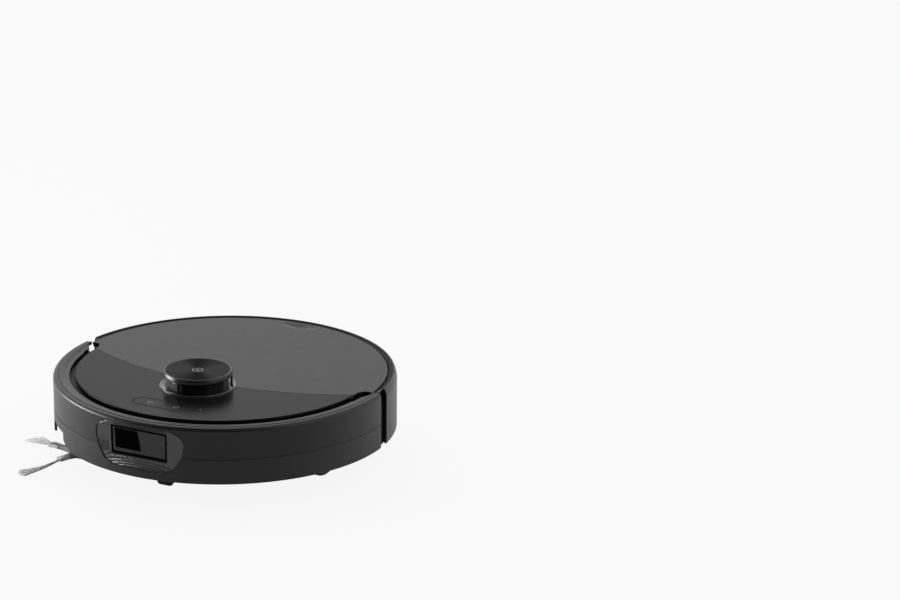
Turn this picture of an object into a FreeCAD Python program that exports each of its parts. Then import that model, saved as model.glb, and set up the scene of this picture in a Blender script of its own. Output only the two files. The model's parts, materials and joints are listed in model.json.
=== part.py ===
"""Disc-shaped robot vacuum and mop with a spinning laser turret.

Millimetres. The origin is on the body's axis at the floor, +Z is up, the front faces -Y.
The robot's right-hand side, with the swinging side brush, is -X.
Each function makes one sub-part as a closed solid, and main() writes one STEP file per node.
"""

import FreeCAD
import Part
import math
import os

V = FreeCAD.Vector
UP = V(0, 0, 1)
ALONG_X = V(1, 0, 0)
ALONG_Y = V(0, 1, 0)

# Driving dimensions: body
BODY_R = 175.0  # outer radius of bumper and rear shell
SKIN = 2.7  # wall of bumper and rear shell
SHELL_BOTTOM = 27.0  # lower edge of bumper and rear shell
BUMPER_SHOULDER_Z = 80.6  # where the bumper's wall starts to round over
SHOULDER_Z = 74.5  # the same of the rear shell
CREST_Z = 85.8  # top of the rim
SEAM_Z = 53.0  # between the smooth upper and the textured lower bumper
BUMPER_END = 93.2  # bumper reaches this far round from the front, degrees
SHELL_START = 97.8  # the rear shell starts here, degrees from the front
LEDGE_START = 94.8  # on the left side the shell's inner ledge starts here
LEDGE_Z = 84.2

# Top plates
PLATE_TOP = 85.5
PLATE_UNDER = 83.3
PLATE_R = 152.5
COVER_R = 165.6
WING_FRONT_Y = 10.5  # the rear cover widens behind this line
SEAM_ARC_R = 326.0
SEAM_ARC_Y = 281.5  # centre of the arc that parts the front plate from the rear cover
SEAM_GAP = 0.4
SCOOP_Y = 155.5  # middle of the shallow oval hollow for a finger in the rear cover
SCOOP_DEPTH = 1.6
PEG_X = 118.0  # pegs under the rear cover
PEG_Y = 30.0

# Chassis
TRAY_BOTTOM = 13.0
TRAY_FLOOR = 2.5
TRAY_R = 167.0
BEVEL_R = 132.0  # outside this radius the underside slopes up to the rim
BEVEL_TOP = 25.0
TRAY_TOP = 30.0
FRAME_R = 168.6
FRAME_FLAT = 4.3  # the frame wall is this much flatter at the front, to let the bumper move
WALL = 2.2
NOTCH_Z = 71.0  # wall and deck are cut down to here beside the gaps behind the bumper
PANEL_GAP = 0.4  # between the panels of the frame wall
DECK_TOP = 80.0
DECK_UNDER = 77.6

# Turret
TURRET_Y = -54.9
CAP_R = 35.3
CAP_TOP = 102.6
CAP_UNDER = 97.2
TURRET_HOLE_R = 40.2  # hole in the plates, with a dark gap round the base ring
RING_R = 38.7
ROTOR_R = 31.0
LENS_ARC = (-2.0, 86.0)  # the rotor's dark window spans these headings, degrees from the front
LENS_Z = (83.4, 95.2)
LENS_DEPTH = 4.5
PILLAR_R = 34.0
PILLAR_HEADINGS = (-3.5, 116.5, 236.5)
MOTOR_X = 38.0
MOTOR_Y = -71.0
PULLEY_Z = (72.0, 76.4)
NECK_R = 12.0

# Window in the bumper
GLASS_HALF = 30.0
GLASS_Z = (48.3, 73.8)
SEAT_HALF = 32.2
SEAT_Z = (45.7, 75.3)
GLASS_Y = -168.5
WINDOW_MID_Z = 58.0
WINDOW_OUTLINE = ((-36, 80), (36, 80), (48, 74), (51, 66), (48, 52), (40, 40), (30, 35.5),
                  (-30, 35.5), (-40, 40), (-48, 52), (-51, 66), (-48, 74))
WINDOW_FLOOR = ((-31.4, 75.3), (31.4, 75.3), (32.2, 74.5), (32.2, 66), (32.2, 54), (32.2, 46.5),
                (31.4, 45.7), (-31.4, 45.7), (-32.2, 46.5), (-32.2, 54), (-32.2, 66), (-32.2, 74.5))

# Keys on the front plate
PILL_Y = -121.0
PILL_LENGTH = 70.0
PILL_WIDTH = 20.0

# Drive wheels
WHEEL_R = 34.0
WHEEL_WIDTH = 24.0
WHEEL_X = 116.0
WHEEL_Y = -18.0
SUSPENSION_Y = 24.0
SUSPENSION_Z = 38.0
AXLE_R = 4.0
RUNNING = 0.05  # radial clearance of a running fit

# Main brush
BRUSH_Y = -22.0
BRUSH_Z = 23.5
BRUSH_R = 21.0
BRUSH_HALF = 80.0

# Caster
CASTER_Y = -127.0
CASTER_TRAIL = 8.3
CASTER_R = 8.5
CASTER_PIN_R = 2.5

# Side brush
ARM_PIVOT = (-75.0, -120.0)
BRUSH_HUB = (-112.0, -98.0)
ARM_SWING = -28.0  # from its place at the rim the arm swings in by this angle about +Z
ARM_Z = (14.5, 36.5)
BRISTLE_HEADINGS = (163.0, 241.0)  # of the two arms, degrees from +X

# Mops
MOP_R = 63.0
MOP_X = 66.0
MOP_Y = 84.0
MOP_PIVOT = (-31.0, 111.0)
MOP_SWING = -25.0
BRACKET_Z = (12.6, 24.0)
GUIDE_POSTS = ((0.0, 76.0), (0.0, 108.0))

# Small pieces on the flat of the underside
SCREW_PLACES = ((44, 14), (-44, 14), (0, 14), (0, -62), (48, -66), (-48, -66), (72, -98))
SENSOR_PLACES = ((40, -112), (-40, -112), (98, -72), (-60, -85))

SPEAKER_AT = (86.0, -78.0)

# Suction fan
FAN_AT = (98.0, 62.0)

# Dustbin
BIN_X = 70.0
BIN_Y = (7.2, 62.0)
BIN_Z = (33.0, 80.4)

# Rear face
CONTACT_X = 35.0
CONTACT_Z = 48.0
CONTACT_Y = 173.4
INLET_Z = 42.0
INLET_R = 3.0


# ---------------------------------------------------------------- helpers
def box(x0, x1, y0, y1, z0, z1):
    return Part.makeBox(x1 - x0, y1 - y0, z1 - z0, V(x0, y0, z0))


def cyl(x, y, z0, z1, r):
    return Part.makeCylinder(r, z1 - z0, V(x, y, z0), UP)


def cyl_x(x0, x1, y, z, r):
    return Part.makeCylinder(r, x1 - x0, V(x0, y, z), ALONG_X)


def cyl_y(x, y0, y1, z, r):
    return Part.makeCylinder(r, y1 - y0, V(x, y0, z), ALONG_Y)


def cone(x, y, z0, z1, r0, r1):
    return Part.makeCone(r0, r1, z1 - z0, V(x, y, z0), UP)


def fuse(shapes):
    first, rest = shapes[0], list(shapes[1:])
    return first.fuse(rest).removeSplitter() if rest else first


def polygon(points):
    closed = list(points) + [points[0]]
    return Part.makePolygon([V(*p) for p in closed])


def prism(points, z0, z1):
    """Upright prism over a closed outline of (x, y) points."""
    face = Part.Face(polygon([(x, y, z0) for x, y in points]))
    return face.extrude(V(0, 0, z1 - z0))


def spin(points, start=0.0, sweep=360.0):
    """Solid of revolution of an (r, z) outline, starting at an angle measured from the front."""
    face = Part.Face(polygon([(0, -r, z) for r, z in points]))
    solid = face.revolve(V(0, 0, 0), UP, sweep)
    solid.rotate(V(0, 0, 0), UP, start)
    return solid


def spin_edges(edges, start, sweep):
    face = Part.Face(Part.Wire(edges))
    solid = face.revolve(V(0, 0, 0), UP, sweep)
    solid.rotate(V(0, 0, 0), UP, start)
    return solid


def line(a, b):
    return Part.LineSegment(V(0, -a[0], a[1]), V(0, -b[0], b[1])).toShape()


def arc(a, m, b):
    return Part.Arc(V(0, -a[0], a[1]), V(0, -m[0], m[1]), V(0, -b[0], b[1])).toShape()


def capsule(a, b, r, z0, z1):
    """Upright solid with a straight slot's outline between the two (x, y) points."""
    (ax, ay), (bx, by) = a, b
    length = math.hypot(bx - ax, by - ay)
    nx, ny = -(by - ay) / length * r, (bx - ax) / length * r
    middle = prism([(ax + nx, ay + ny), (bx + nx, by + ny), (bx - nx, by - ny), (ax - nx, ay - ny)], z0, z1)
    return fuse([middle, cyl(ax, ay, z0, z1, r), cyl(bx, by, z0, z1, r)])


def turned(point, about, degrees):
    a = math.radians(degrees)
    dx, dy = point[0] - about[0], point[1] - about[1]
    return (about[0] + dx * math.cos(a) - dy * math.sin(a), about[1] + dx * math.sin(a) + dy * math.cos(a))


def mirrored(shape):
    return shape.mirror(V(0, 0, 0), ALONG_X)


def polar(r, degrees_from_front):
    a = math.radians(degrees_from_front)
    return (r * math.sin(a), -r * math.cos(a))


def round_prism(x0, x1, y0, y1, z0, z1, r):
    """Box with rounded upright edges."""
    solid = box(x0, x1, y0, y1, z0, z1)
    upright = [e for e in solid.Edges if abs(e.BoundBox.ZLength - (z1 - z0)) < 1e-6]
    return solid.makeFillet(r, upright)


# ---------------------------------------------------------------- outer shells
def foot_arc():
    """Rounded lower corner of the outer wall."""
    low = SHELL_BOTTOM
    return arc((BODY_R - 1.2, low), (BODY_R - 0.35, low + 0.35), (BODY_R, low + 1.2))


def shell_wall_edges():
    """Section of the bumper: wall, rounded shoulder, raised rim and the gutter inside it."""
    inner = BODY_R - SKIN
    return [
        line((inner, SHELL_BOTTOM), (BODY_R - 1.2, SHELL_BOTTOM)),
        foot_arc(),
        line((BODY_R, SHELL_BOTTOM + 1.2), (BODY_R, BUMPER_SHOULDER_Z)),
        arc((BODY_R, BUMPER_SHOULDER_Z), (174.1, 84.1), (171.8, 85.4)),
        line((171.8, 85.4), (169.6, 85.2)),
        line((169.6, 85.2), (169.4, 84.8)),
        line((169.4, 84.8), (169.0, 85.4)),
        line((169.0, 85.4), (168.2, CREST_Z)),
        line((168.2, CREST_Z), (167.2, CREST_Z)),
        arc((167.2, CREST_Z), (163.2, 84.4), (158.6, 83.9)),
        line((158.6, 83.9), (158.6, 81.6)),
        line((158.6, 81.6), (166.2, 82.2)),
        arc((166.2, 82.2), (170.9, 80.9), (inner, BUMPER_SHOULDER_Z - 3.4)),
        line((inner, BUMPER_SHOULDER_Z - 3.4), (inner, SHELL_BOTTOM)),
    ]


def window_opening(y0, y1):
    """Prism through the bumper over the outline of the window."""
    return Part.Face(polygon([(x, y0, z) for x, z in WINDOW_OUTLINE])).extrude(V(0, y1 - y0, 0))


def brush_gap():
    """Notch in the bumper's lower edge above the side brush, with one sloping corner."""
    near = -38.7
    notch = prism([(0, 0)] + [polar(200, near - 2.26 * k) for k in range(8)], SHELL_BOTTOM - 2, 42.0)
    x, y = polar(160, near)
    along, outward = polar(1, near + 90), polar(30, near)
    outline = [(-1.0, 34.2), (17.0, SHELL_BOTTOM), (17.0, SHELL_BOTTOM - 2), (-1.0, SHELL_BOTTOM - 2)]
    corner = Part.Face(polygon([(x + s * along[0], y + s * along[1], z) for s, z in outline]))
    return fuse([notch, corner.extrude(V(outward[0], outward[1], 0))])


def lip_relief():
    """Space beside the rear cover's wings, which the end of the bumper's lip clears."""
    right = prism([(150, -20), (158.9, -20), (160.2, -6), (166.8, 4.2), (166.8, 30), (150, 30)], 81.0, 88.0)
    return fuse([right, mirrored(right)])


def bumper_whole():
    ring = spin_edges(shell_wall_edges(), -BUMPER_END, 2 * BUMPER_END)
    cuts = [window_opening(-190, -120), brush_gap(), lip_relief()]
    return ring.cut(cuts)


def bumper_shell():
    return bumper_whole().cut(cyl(0, 0, 0, SEAM_Z, 300))


def bumper_skirt():
    """Lower, textured band of the bumper, a fine step inside the upper shell."""
    band = bumper_whole().common(cyl(0, 0, 0, SEAM_Z, 300))
    return band.cut(cyl(0, 0, SEAM_Z - 0.7, SEAM_Z + 1, 300).cut(cyl(0, 0, 0, 200, BODY_R - 0.5)))


def window_bezel():
    """Funnel with mitred faces that leads in to the sensor glass."""
    back = -159.5
    block = window_opening(-190, back).common(cyl(0, 0, 0, 200, BODY_R - 0.25))
    mouth = polygon([(x * 0.985, -178.0, WINDOW_MID_Z + (z - WINDOW_MID_Z) * 0.975)
                     for x, z in WINDOW_OUTLINE])
    floor = polygon([(x, GLASS_Y - 0.4, z) for x, z in WINDOW_FLOOR])
    funnel = Part.makeLoft([mouth, floor], True, True)
    seat = box(-SEAT_HALF, SEAT_HALF, GLASS_Y - 0.4, back + 5, SEAT_Z[0], SEAT_Z[1])
    return block.cut([funnel, seat])


def window_glass():
    glass = box(-SEAT_HALF, SEAT_HALF, GLASS_Y + 1.0, GLASS_Y + 3.0, SEAT_Z[0], SEAT_Z[1])
    face = box(-GLASS_HALF, GLASS_HALF, GLASS_Y, GLASS_Y + 1.0, GLASS_Z[0], GLASS_Z[1])
    corners = [e for e in face.Edges if abs(e.BoundBox.YLength - 1.0) < 1e-6]
    return glass.fuse(face.makeFillet(2.2, corners))


def rear_shell():
    """Fixed outer shell round the back, with the ledge that the rear cover sits beside."""
    inner = BODY_R - SKIN
    sweep = 360 - 2 * SHELL_START
    wall = [
        line((inner, SHELL_BOTTOM), (BODY_R - 1.2, SHELL_BOTTOM)),
        foot_arc(),
        line((BODY_R, SHELL_BOTTOM + 1.2), (BODY_R, SHOULDER_Z)),
        arc((BODY_R, SHOULDER_Z), (174.4, 81.4), (172.6, CREST_Z - 0.3)),
        line((172.6, CREST_Z - 0.3), (171.6, CREST_Z - 0.3)),
        line((171.6, CREST_Z - 0.3), (169.8, LEDGE_Z)),
        line((169.8, LEDGE_Z), (169.8, DECK_TOP)),
        line((169.8, DECK_TOP), (inner, DECK_TOP - 3.0)),
        line((inner, DECK_TOP - 3.0), (inner, SHELL_BOTTOM)),
    ]
    shell = spin_edges(wall, SHELL_START, sweep)
    ledge = spin([(166.9, DECK_TOP), (166.9, LEDGE_Z), (169.8, LEDGE_Z), (169.8, DECK_TOP)],
                 LEDGE_START, 360 - LEDGE_START - SHELL_START)
    end = [(169.9, SHELL_BOTTOM + 4), (174.0, SHELL_BOTTOM + 0.6), (174.0, 79.0), (169.9, 79.0)]
    liner = [(169.9, SHELL_BOTTOM + 0.6), (171.4, SHELL_BOTTOM + 0.6), (171.4, NOTCH_Z), (169.9, NOTCH_Z)]
    ends = [spin(end, SHELL_START, 0.8), spin(end, -SHELL_START - 0.8, 0.8),
            spin(liner, SHELL_START - 3.0, 3.8), spin(liner, -SHELL_START - 0.8, 3.8)]
    vents = [cyl_y(x, 150, 190, 64, 1.6) for x in range(-48, 49, 8)]
    inlet = cyl_y(0, 150, 190, INLET_Z, 7.2)
    body = fuse([shell, ledge] + ends)
    return body.cut(contact_ports() + vents + [inlet])


# ---------------------------------------------------------------- top plates
def behind_seam(offset):
    """Region behind the arc between the plates, moved towards the front by the offset."""
    return cyl(0, SEAM_ARC_Y, 60, 100, SEAM_ARC_R + offset)


def pill(length, width, z0, z1):
    half = length / 2 - width / 2
    return capsule((-half, PILL_Y), (half, PILL_Y), width / 2, z0, z1)


def front_plate():
    edge = 1.1
    profile = [(0, PLATE_UNDER), (150.2, PLATE_UNDER), (150.2, DECK_TOP), (PLATE_R, DECK_TOP),
               (PLATE_R, PLATE_TOP - edge), (PLATE_R - 0.35, PLATE_TOP - 0.35), (PLATE_R - edge, PLATE_TOP),
               (0, PLATE_TOP)]
    plate = spin(profile)
    cuts = [behind_seam(SEAM_GAP / 2), cyl(0, TURRET_Y, 60, 100, TURRET_HOLE_R),
            pill(PILL_LENGTH + 1.0, PILL_WIDTH + 1.0, 60, 100)]
    return plate.cut(cuts)


def cover_outline():
    narrow = cyl(0, 0, 60, 100, PLATE_R)
    wing = [(-200, WING_FRONT_Y), (-157, WING_FRONT_Y - 2.5), (-150, -3), (150, -3),
            (157, WING_FRONT_Y - 2.5), (200, WING_FRONT_Y), (200, 200), (-200, 200)]
    wide = cyl(0, 0, 60, 100, COVER_R).common(prism(wing, 60, 100))
    return narrow.fuse(wide)


def rear_cover():
    """Lift-off cover with a skirt under the front of its wings and two locating pegs below."""
    region = cover_outline().common(behind_seam(-SEAM_GAP / 2))
    edge = 1.1
    top = spin([(0, PLATE_UNDER), (COVER_R + 2, PLATE_UNDER), (COVER_R + 2, PLATE_TOP), (0, PLATE_TOP)])
    beyond = COVER_R + 3
    bevel = spin([(COVER_R - edge, PLATE_TOP), (beyond, PLATE_TOP), (beyond, PLATE_TOP - edge - 3)])
    pad = cyl(0, 0, 80.6, PLATE_UNDER, 164.0).common(box(-27, 27, 143, 170, 80.6, PLATE_UNDER))
    rib = cyl(0, 0, 81.2, PLATE_UNDER, 150.0).cut(cyl(0, 0, 81.0, PLATE_UNDER, 147.6))
    rib = rib.common(box(-160, 160, 66, 160, 80, 90)).cut(box(-27, 27, 60, 170, 60, 100))
    skin = top.common(region).cut(bevel)
    pegs = [cyl(s * PEG_X, PEG_Y, 80.9, PLATE_UNDER, 4.0) for s in (-1, 1)]
    skirt = prism([(152.6, 1.6), (157.0, 8.5), (164.9, 9.0), (164.7, 10.6), (156.2, 10.1), (151.4, 2.6)],
                  DECK_TOP + 0.3, PLATE_UNDER)
    hole = cyl(0, TURRET_Y, 60, 100, TURRET_HOLE_R)
    return fuse([skin, pad, rib, skirt, mirrored(skirt)] + pegs).cut([finger_scoop(), hole])


def finger_scoop():
    """Flat ellipsoid that the shallow hollow is cut with."""
    height = 4.0
    shape = FreeCAD.Matrix()
    shape.scale(24.0, 10.0, height)
    shape.move(V(0, SCOOP_Y, PLATE_TOP + height - SCOOP_DEPTH))
    return Part.makeSphere(1.0).transformGeometry(shape)


# ---------------------------------------------------------------- chassis
def wheel_well(side, grow):
    shape = box(90 - grow, 131 + grow, -54 - grow, 34 + grow, TRAY_BOTTOM - 1 + min(grow, 1), 71 + grow)
    return shape if side > 0 else mirrored(shape)


def brush_well(grow):
    reach = 85.5 if grow == 0 else 88.0
    low = TRAY_BOTTOM - 1 + min(grow, 1)
    return box(-reach, reach, BRUSH_Y - 24 - grow, BRUSH_Y + 24 + grow, low, 46.5 + grow)


def mop_recess(radius, ceiling):
    floor = TRAY_BOTTOM - (0 if radius > 67 else 1)
    return [cyl(s * MOP_X, MOP_Y, floor, ceiling, radius) for s in (-1, 1)]


def mop_swing_recess(radius, ceiling):
    """The right mop swings out about its pivot, so the recess follows it."""
    low = TRAY_BOTTOM - (0 if radius > 67 else 1)
    out = turned((-MOP_X, MOP_Y), MOP_PIVOT, MOP_SWING)
    half = turned((-MOP_X, MOP_Y), MOP_PIVOT, MOP_SWING / 2)
    return [cyl(half[0], half[1], low, ceiling, radius), cyl(out[0], out[1], low, ceiling, radius)]


def arm_pocket(grow=0.0):
    """Space in the tray and frame for the side-brush arm over its whole swing."""
    low = TRAY_BOTTOM - (0 if grow else 1)
    high = ARM_Z[1] + 1.0 + grow
    steps = [BRUSH_HUB] + [turned(BRUSH_HUB, ARM_PIVOT, ARM_SWING * k / 4) for k in range(1, 5)]
    shapes = [capsule(ARM_PIVOT, hub, 17.0 + grow, low, high) for hub in steps]
    shapes.append(capsule(BRUSH_HUB, polar(176, -50), 17.0 + grow, low, high))
    return fuse(shapes)


def tray_puck(r, bottom, top):
    """Disc with the underside's slope round its rim."""
    slope_top = bottom + (BEVEL_TOP - TRAY_BOTTOM) * (r - BEVEL_R) / (TRAY_R - BEVEL_R)
    return spin([(0, bottom), (BEVEL_R, bottom), (r, slope_top), (r, top), (0, top)])


def chassis_tray():
    """Moulded floor of the robot, with the lower part of every well and pocket."""
    puck = tray_puck(TRAY_R, TRAY_BOTTOM, TRAY_TOP)
    pocket_box = box(-94, 86, 65, 130, TRAY_BOTTOM, 38.5)
    low_wells = fuse([wheel_well(1, 2), wheel_well(-1, 2), brush_well(2.2)]).common(puck)
    wells = [low_wells, pocket_box, cyl(0, CASTER_Y, TRAY_BOTTOM, 35.0, 23),
             arm_pocket(2.0).common(cyl(0, 0, 0, 99, 160))]
    wells += mop_recess(68, 26.5) + mop_swing_recess(68, 26.5)
    keep = fuse(wells).common(tray_puck(TRAY_R, TRAY_BOTTOM, 100))
    inside = tray_puck(TRAY_R - WALL, TRAY_BOTTOM + TRAY_FLOOR, TRAY_TOP + 1)
    body = puck.cut(inside.cut(keep)).fuse(keep)
    cavities = [wheel_well(1, 0), wheel_well(-1, 0), brush_well(0), box(-92, 84, 66.5, 128, 10, 36),
                cyl(0, CASTER_Y, 10, 33, 21), arm_pocket()]
    cavities += mop_recess(66, 24) + mop_swing_recess(66, 24)
    bearing = cyl(0, CASTER_Y, 30, 40, 3.2)
    posts = [cyl(x, y, TRAY_BOTTOM + 1, 36.5, 3.0) for x, y in GUIDE_POSTS]
    pivot = cyl(ARM_PIVOT[0], ARM_PIVOT[1], TRAY_BOTTOM + 0.1, ARM_Z[1] + 2.0, 4.0)
    body = body.cut(cavities + [bearing])
    brush_axle = [cyl_x(-86, -78, BRUSH_Y, BRUSH_Z, 3.0), cyl_x(78, 86, BRUSH_Y, BRUSH_Z, 3.0)]
    return fuse([body] + posts + [pivot] + brush_axle)


def wheel_house(side):
    """Upper part of a drive wheel's well, with the pin that the suspension arm turns on."""
    walls = wheel_well(side, 2).cut([wheel_well(side, 0), cyl(0, 0, 0, TRAY_TOP, TRAY_R)])
    spindle = cyl_x(88, 103, SUSPENSION_Y, SUSPENSION_Z, AXLE_R)
    return walls.fuse(spindle if side > 0 else mirrored(spindle))


def brush_hood():
    """Upper part of the main brush's well, open to the suction slot."""
    return brush_well(2.2).cut([brush_well(0), suction_slot(), cyl(0, 0, 0, TRAY_TOP, TRAY_R)])


def frame_outline(r, z0, z1):
    """Disc of the inner frame, flatter at the front so that the bumper can move in."""
    return cyl(0, 0, z0, z1, r).common(cyl(0, FRAME_FLAT, z0, z1, r))


def panel_gap(degrees):
    """Thin radial gap between two panels of the frame wall."""
    gap = box(-PANEL_GAP / 2, PANEL_GAP / 2, 100, 200, 0, 100)
    gap.rotate(V(0, 0, 0), UP, degrees)
    return gap


def slot_notches():
    """Spaces above the wall and beside the deck, at the gaps between bumper and rear shell."""
    wedge = prism([(0, 0)] + [polar(200, 88.5 + 2.5 * k) for k in range(5)], NOTCH_Z, 90)
    right = wedge.cut(cyl(0, 0, 0, 100, 157.0))
    return [right, mirrored(right)]


def frame_wall():
    """Upright wall inside the bumper and rear shell, made of eight curved panels."""
    inside = frame_outline(FRAME_R - WALL, TRAY_TOP, DECK_TOP)
    ring = frame_outline(FRAME_R, TRAY_TOP, DECK_TOP).cut(inside)
    cuts = [camera_port(), arm_pocket(), cyl_y(0, 150, 190, INLET_Z, 7.2)]
    cuts += [panel_gap(22.5 + 45.0 * k) for k in range(8)]
    return ring.cut(cuts + contact_ports() + slot_notches())


def deck():
    """Flat deck under the top plates, round the dustbin's bay and the turret's bush."""
    plate = frame_outline(FRAME_R - WALL, DECK_UNDER, DECK_TOP)
    cuts = [bay_block(2.5), cyl(0, TURRET_Y, 60, 90, 15.0), camera_port()]
    cuts += [cyl(MOTOR_X, MOTOR_Y, 60, 90, 7.5),
             box(-42, 42, PILL_Y - 7, PILL_Y + 7, 60, 90)]
    cuts += [box(s * PEG_X - 5, s * PEG_X + 5, PEG_Y - 5, PEG_Y + 5, 60, 90) for s in (-1, 1)]
    return plate.cut(cuts + slot_notches())


def bay_block(grow):
    """Space of the dustbin's bay, with room for its walls."""
    half = BIN_X + grow
    return box(-half, half, BIN_Y[0] - grow, BIN_Y[1] + grow, BIN_Z[0] - grow + 0.1, DECK_TOP)


def bin_bay():
    """Open-topped box that the dustbin drops into, with the suction slot in its front wall."""
    room = box(-BIN_X - 1, BIN_X + 1, BIN_Y[0] - 1, BIN_Y[1] + 1, BIN_Z[0] - 0.8, DECK_TOP + 5)
    return bay_block(2.5).cut([room, suction_slot()])


def bays():
    """Upper walls of the bays: one for the dustbin, two for the wheels and one for the main brush."""
    return Part.makeCompound([bin_bay(), wheel_house(1), wheel_house(-1), brush_hood()])


def suction_slot():
    return box(-57, 57, -5, BIN_Y[0] + 0.8, 34.5, 44.5)


def camera_port():
    """Gap in wall and deck for the window bezel and the camera behind it."""
    return box(-56, 56, -180, -150, 32, 90)


def contact_ports():
    return [box(s * CONTACT_X - 9.2, s * CONTACT_X + 9.2, 150, 190, CONTACT_Z - 4.7, CONTACT_Z + 4.7)
            for s in (-1, 1)]


def bearings():
    """Bushes of the caster's pin and the turret's neck."""
    caster_bush = cyl(0, CASTER_Y, 30, 36.5, 3.2).cut(cyl(0, CASTER_Y, 20, 36, CASTER_PIN_R + RUNNING))
    turret_bush = cyl(0, TURRET_Y, 77.0, DECK_TOP, 15.0).cut(cyl(0, TURRET_Y, 70, 90, NECK_R + RUNNING))
    return Part.makeCompound([caster_bush, turret_bush])


def brush_guard():
    """Removable frame that holds the main brush in its well."""
    z0, z1 = TRAY_BOTTOM - 2.0, TRAY_BOTTOM
    outer = round_prism(-96, 96, BRUSH_Y - 31, BRUSH_Y + 31, z0, z1, 5)
    mouth = round_prism(-84.5, 84.5, BRUSH_Y - 23, BRUSH_Y + 23, z0 - 1, z1 + 1, 3)
    guard = outer.cut(mouth).cut([box(89, 140, -60, 40, 0, 30), box(-140, -89, -60, 40, 0, 30)])
    return guard


def screws():
    """Bottom screws, one group of like pieces."""
    group = []
    for x, y in SCREW_PLACES:
        head = cyl(x, y, TRAY_BOTTOM - 0.9, TRAY_BOTTOM, 3.0)
        slot = box(x - 2, x + 2, y - 0.4, y + 0.4, TRAY_BOTTOM - 2, TRAY_BOTTOM - 0.5)
        cross = box(x - 0.4, x + 0.4, y - 2, y + 2, TRAY_BOTTOM - 2, TRAY_BOTTOM - 0.5)
        group.append(head.cut([slot, cross]))
    return Part.makeCompound(group)


def cliff_sensors():
    """Dark lenses on the underside that look down at the floor."""
    group = [round_prism(x - 7, x + 7, y - 3.5, y + 3.5, TRAY_BOTTOM - 0.8, TRAY_BOTTOM, 2)
             for x, y in SENSOR_PLACES]
    return Part.makeCompound(group)


def battery_pack():
    pack = box(-65, 65, -97, -55, TRAY_BOTTOM + TRAY_FLOOR, 52)
    long_edges = [e for e in pack.Edges if abs(e.BoundBox.XLength - 130) < 1e-6]
    return pack.makeFillet(6, long_edges)


def circuit_board():
    board = box(-76, 76, -104, -52, 54, 55.6)
    chips = [box(-60, -40, -95, -75, 55.6, 57.4), box(-20, 10, -98, -76, 55.6, 57.8),
             box(52, 66, -70, -58, 55.6, 61), box(-66, -50, -68, -60, 55.6, 60)]
    return fuse([board] + chips)


def speaker():
    x, y = SPEAKER_AT
    frame = cyl(x, y, TRAY_BOTTOM + TRAY_FLOOR, 30, 14)
    return frame.cut(cone(x, y, 22, 31, 4, 12))


def obstacle_camera():
    """Camera and light projectors behind the glass."""
    body = box(-31, 31, -153.0, -146, 51, 73)
    eyes = [cyl_y(x, -155.5, -153.0, 62, r) for x, r in ((-20, 4.0), (0, 6.0), (20, 4.0))]
    foot = box(-12, 12, -152, -146, 45, 51)
    return fuse([body, foot] + eyes)


def intake_seal():
    """Rubber frame between the brush well and the dustbin."""
    return box(-57, 57, 2.2, 6.9, 34.5, 44.5).cut(box(-54, 54, 0, 9, 37, 42))


# ---------------------------------------------------------------- suction and water
def fan_housing():
    """Volute of the suction fan, open at the top round the impeller."""
    x, y = FAN_AT
    outer = cyl(x, y, 40, 73, 21)
    outlet = box(x, x + 34, y + 6, y + 20, 42, 58)
    hollow = cyl(x, y, 55, 75, 19)
    duct = box(x + 2, x + 40, y + 8, y + 18, 44, 56)
    mouth = cyl(x, y, 70, 80, 12)
    body = fuse([outer, outlet]).cut([hollow, duct])
    lid = cyl(x, y, 71, 73, 21).cut(mouth)
    axle = cyl(x, y, 54, 68, 2.0)
    return fuse([body, lid, axle])


def fan_impeller():
    x, y = FAN_AT
    disc = cyl(x, y, 56, 57.5, 17.5)
    hub = cyl(x, y, 56, 67, 5)
    blades = []
    for k in range(9):
        blade = box(x + 4.5, x + 17, y - 0.6, y + 0.6, 57.4, 67)
        blade.rotate(V(x, y, 0), UP, k * 40)
        blades.append(blade)
    return fuse([disc, hub] + blades).cut(cyl(x, y, 50, 70, 2.0 + RUNNING))


def water_tank():
    outline = [(-112, 68), (74, 68), (74, 92), (90, 106), (76, 138), (30, 156), (-30, 156),
               (-84, 132), (-112, 106)]
    outside = prism(outline, 40.5, 76.5)
    inside = prism([(x * 0.965, 112 + (y - 112) * 0.94) for x, y in outline], 42.5, 74.5)
    filler = cyl(0, 110, 70, 78, 9)
    return outside.cut(inside).cut(filler)


def tank_cap():
    return fuse([cyl(0, 110, 70.0, 76.5, 9), box(-6, 6, 109, 111, 76.5, 77.4)])


def water_inlet():
    """Filling port on the rear face, on the robot's centre line."""
    nozzle = cyl_y(0, 158, 174.2, INLET_Z, 7.0)
    return nozzle.cut(cyl_y(0, 164.2, 180, INLET_Z, INLET_R))


def charging_contacts():
    group = []
    for side in (-1, 1):
        x = side * CONTACT_X
        plate = round_prism_y(x - 9, x + 9, 165, CONTACT_Y, CONTACT_Z - 4.5, CONTACT_Z + 4.5)
        group.append(plate)
    return Part.makeCompound(group)


def round_prism_y(x0, x1, y0, y1, z0, z1, r=2.0):
    solid = box(x0, x1, y0, y1, z0, z1)
    edges = [e for e in solid.Edges if abs(e.BoundBox.YLength - (y1 - y0)) < 1e-6]
    return solid.makeFillet(r, edges)


# ---------------------------------------------------------------- dustbin
def dustbin_box():
    y0, y1 = BIN_Y
    outer = box(-BIN_X, BIN_X, y0, y1, BIN_Z[0], 77.0)
    inner = box(-BIN_X + 2, BIN_X - 2, y0 + 2, y1 - 2, BIN_Z[0] + 2, 80)
    intake = box(-53, 53, 0, y0 + 3, 37.5, 41.5)
    outlet = box(BIN_X - 3, BIN_X + 3, y0 + 14, y1 - 14, 50, 72)
    return outer.cut([inner, intake, outlet])


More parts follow.
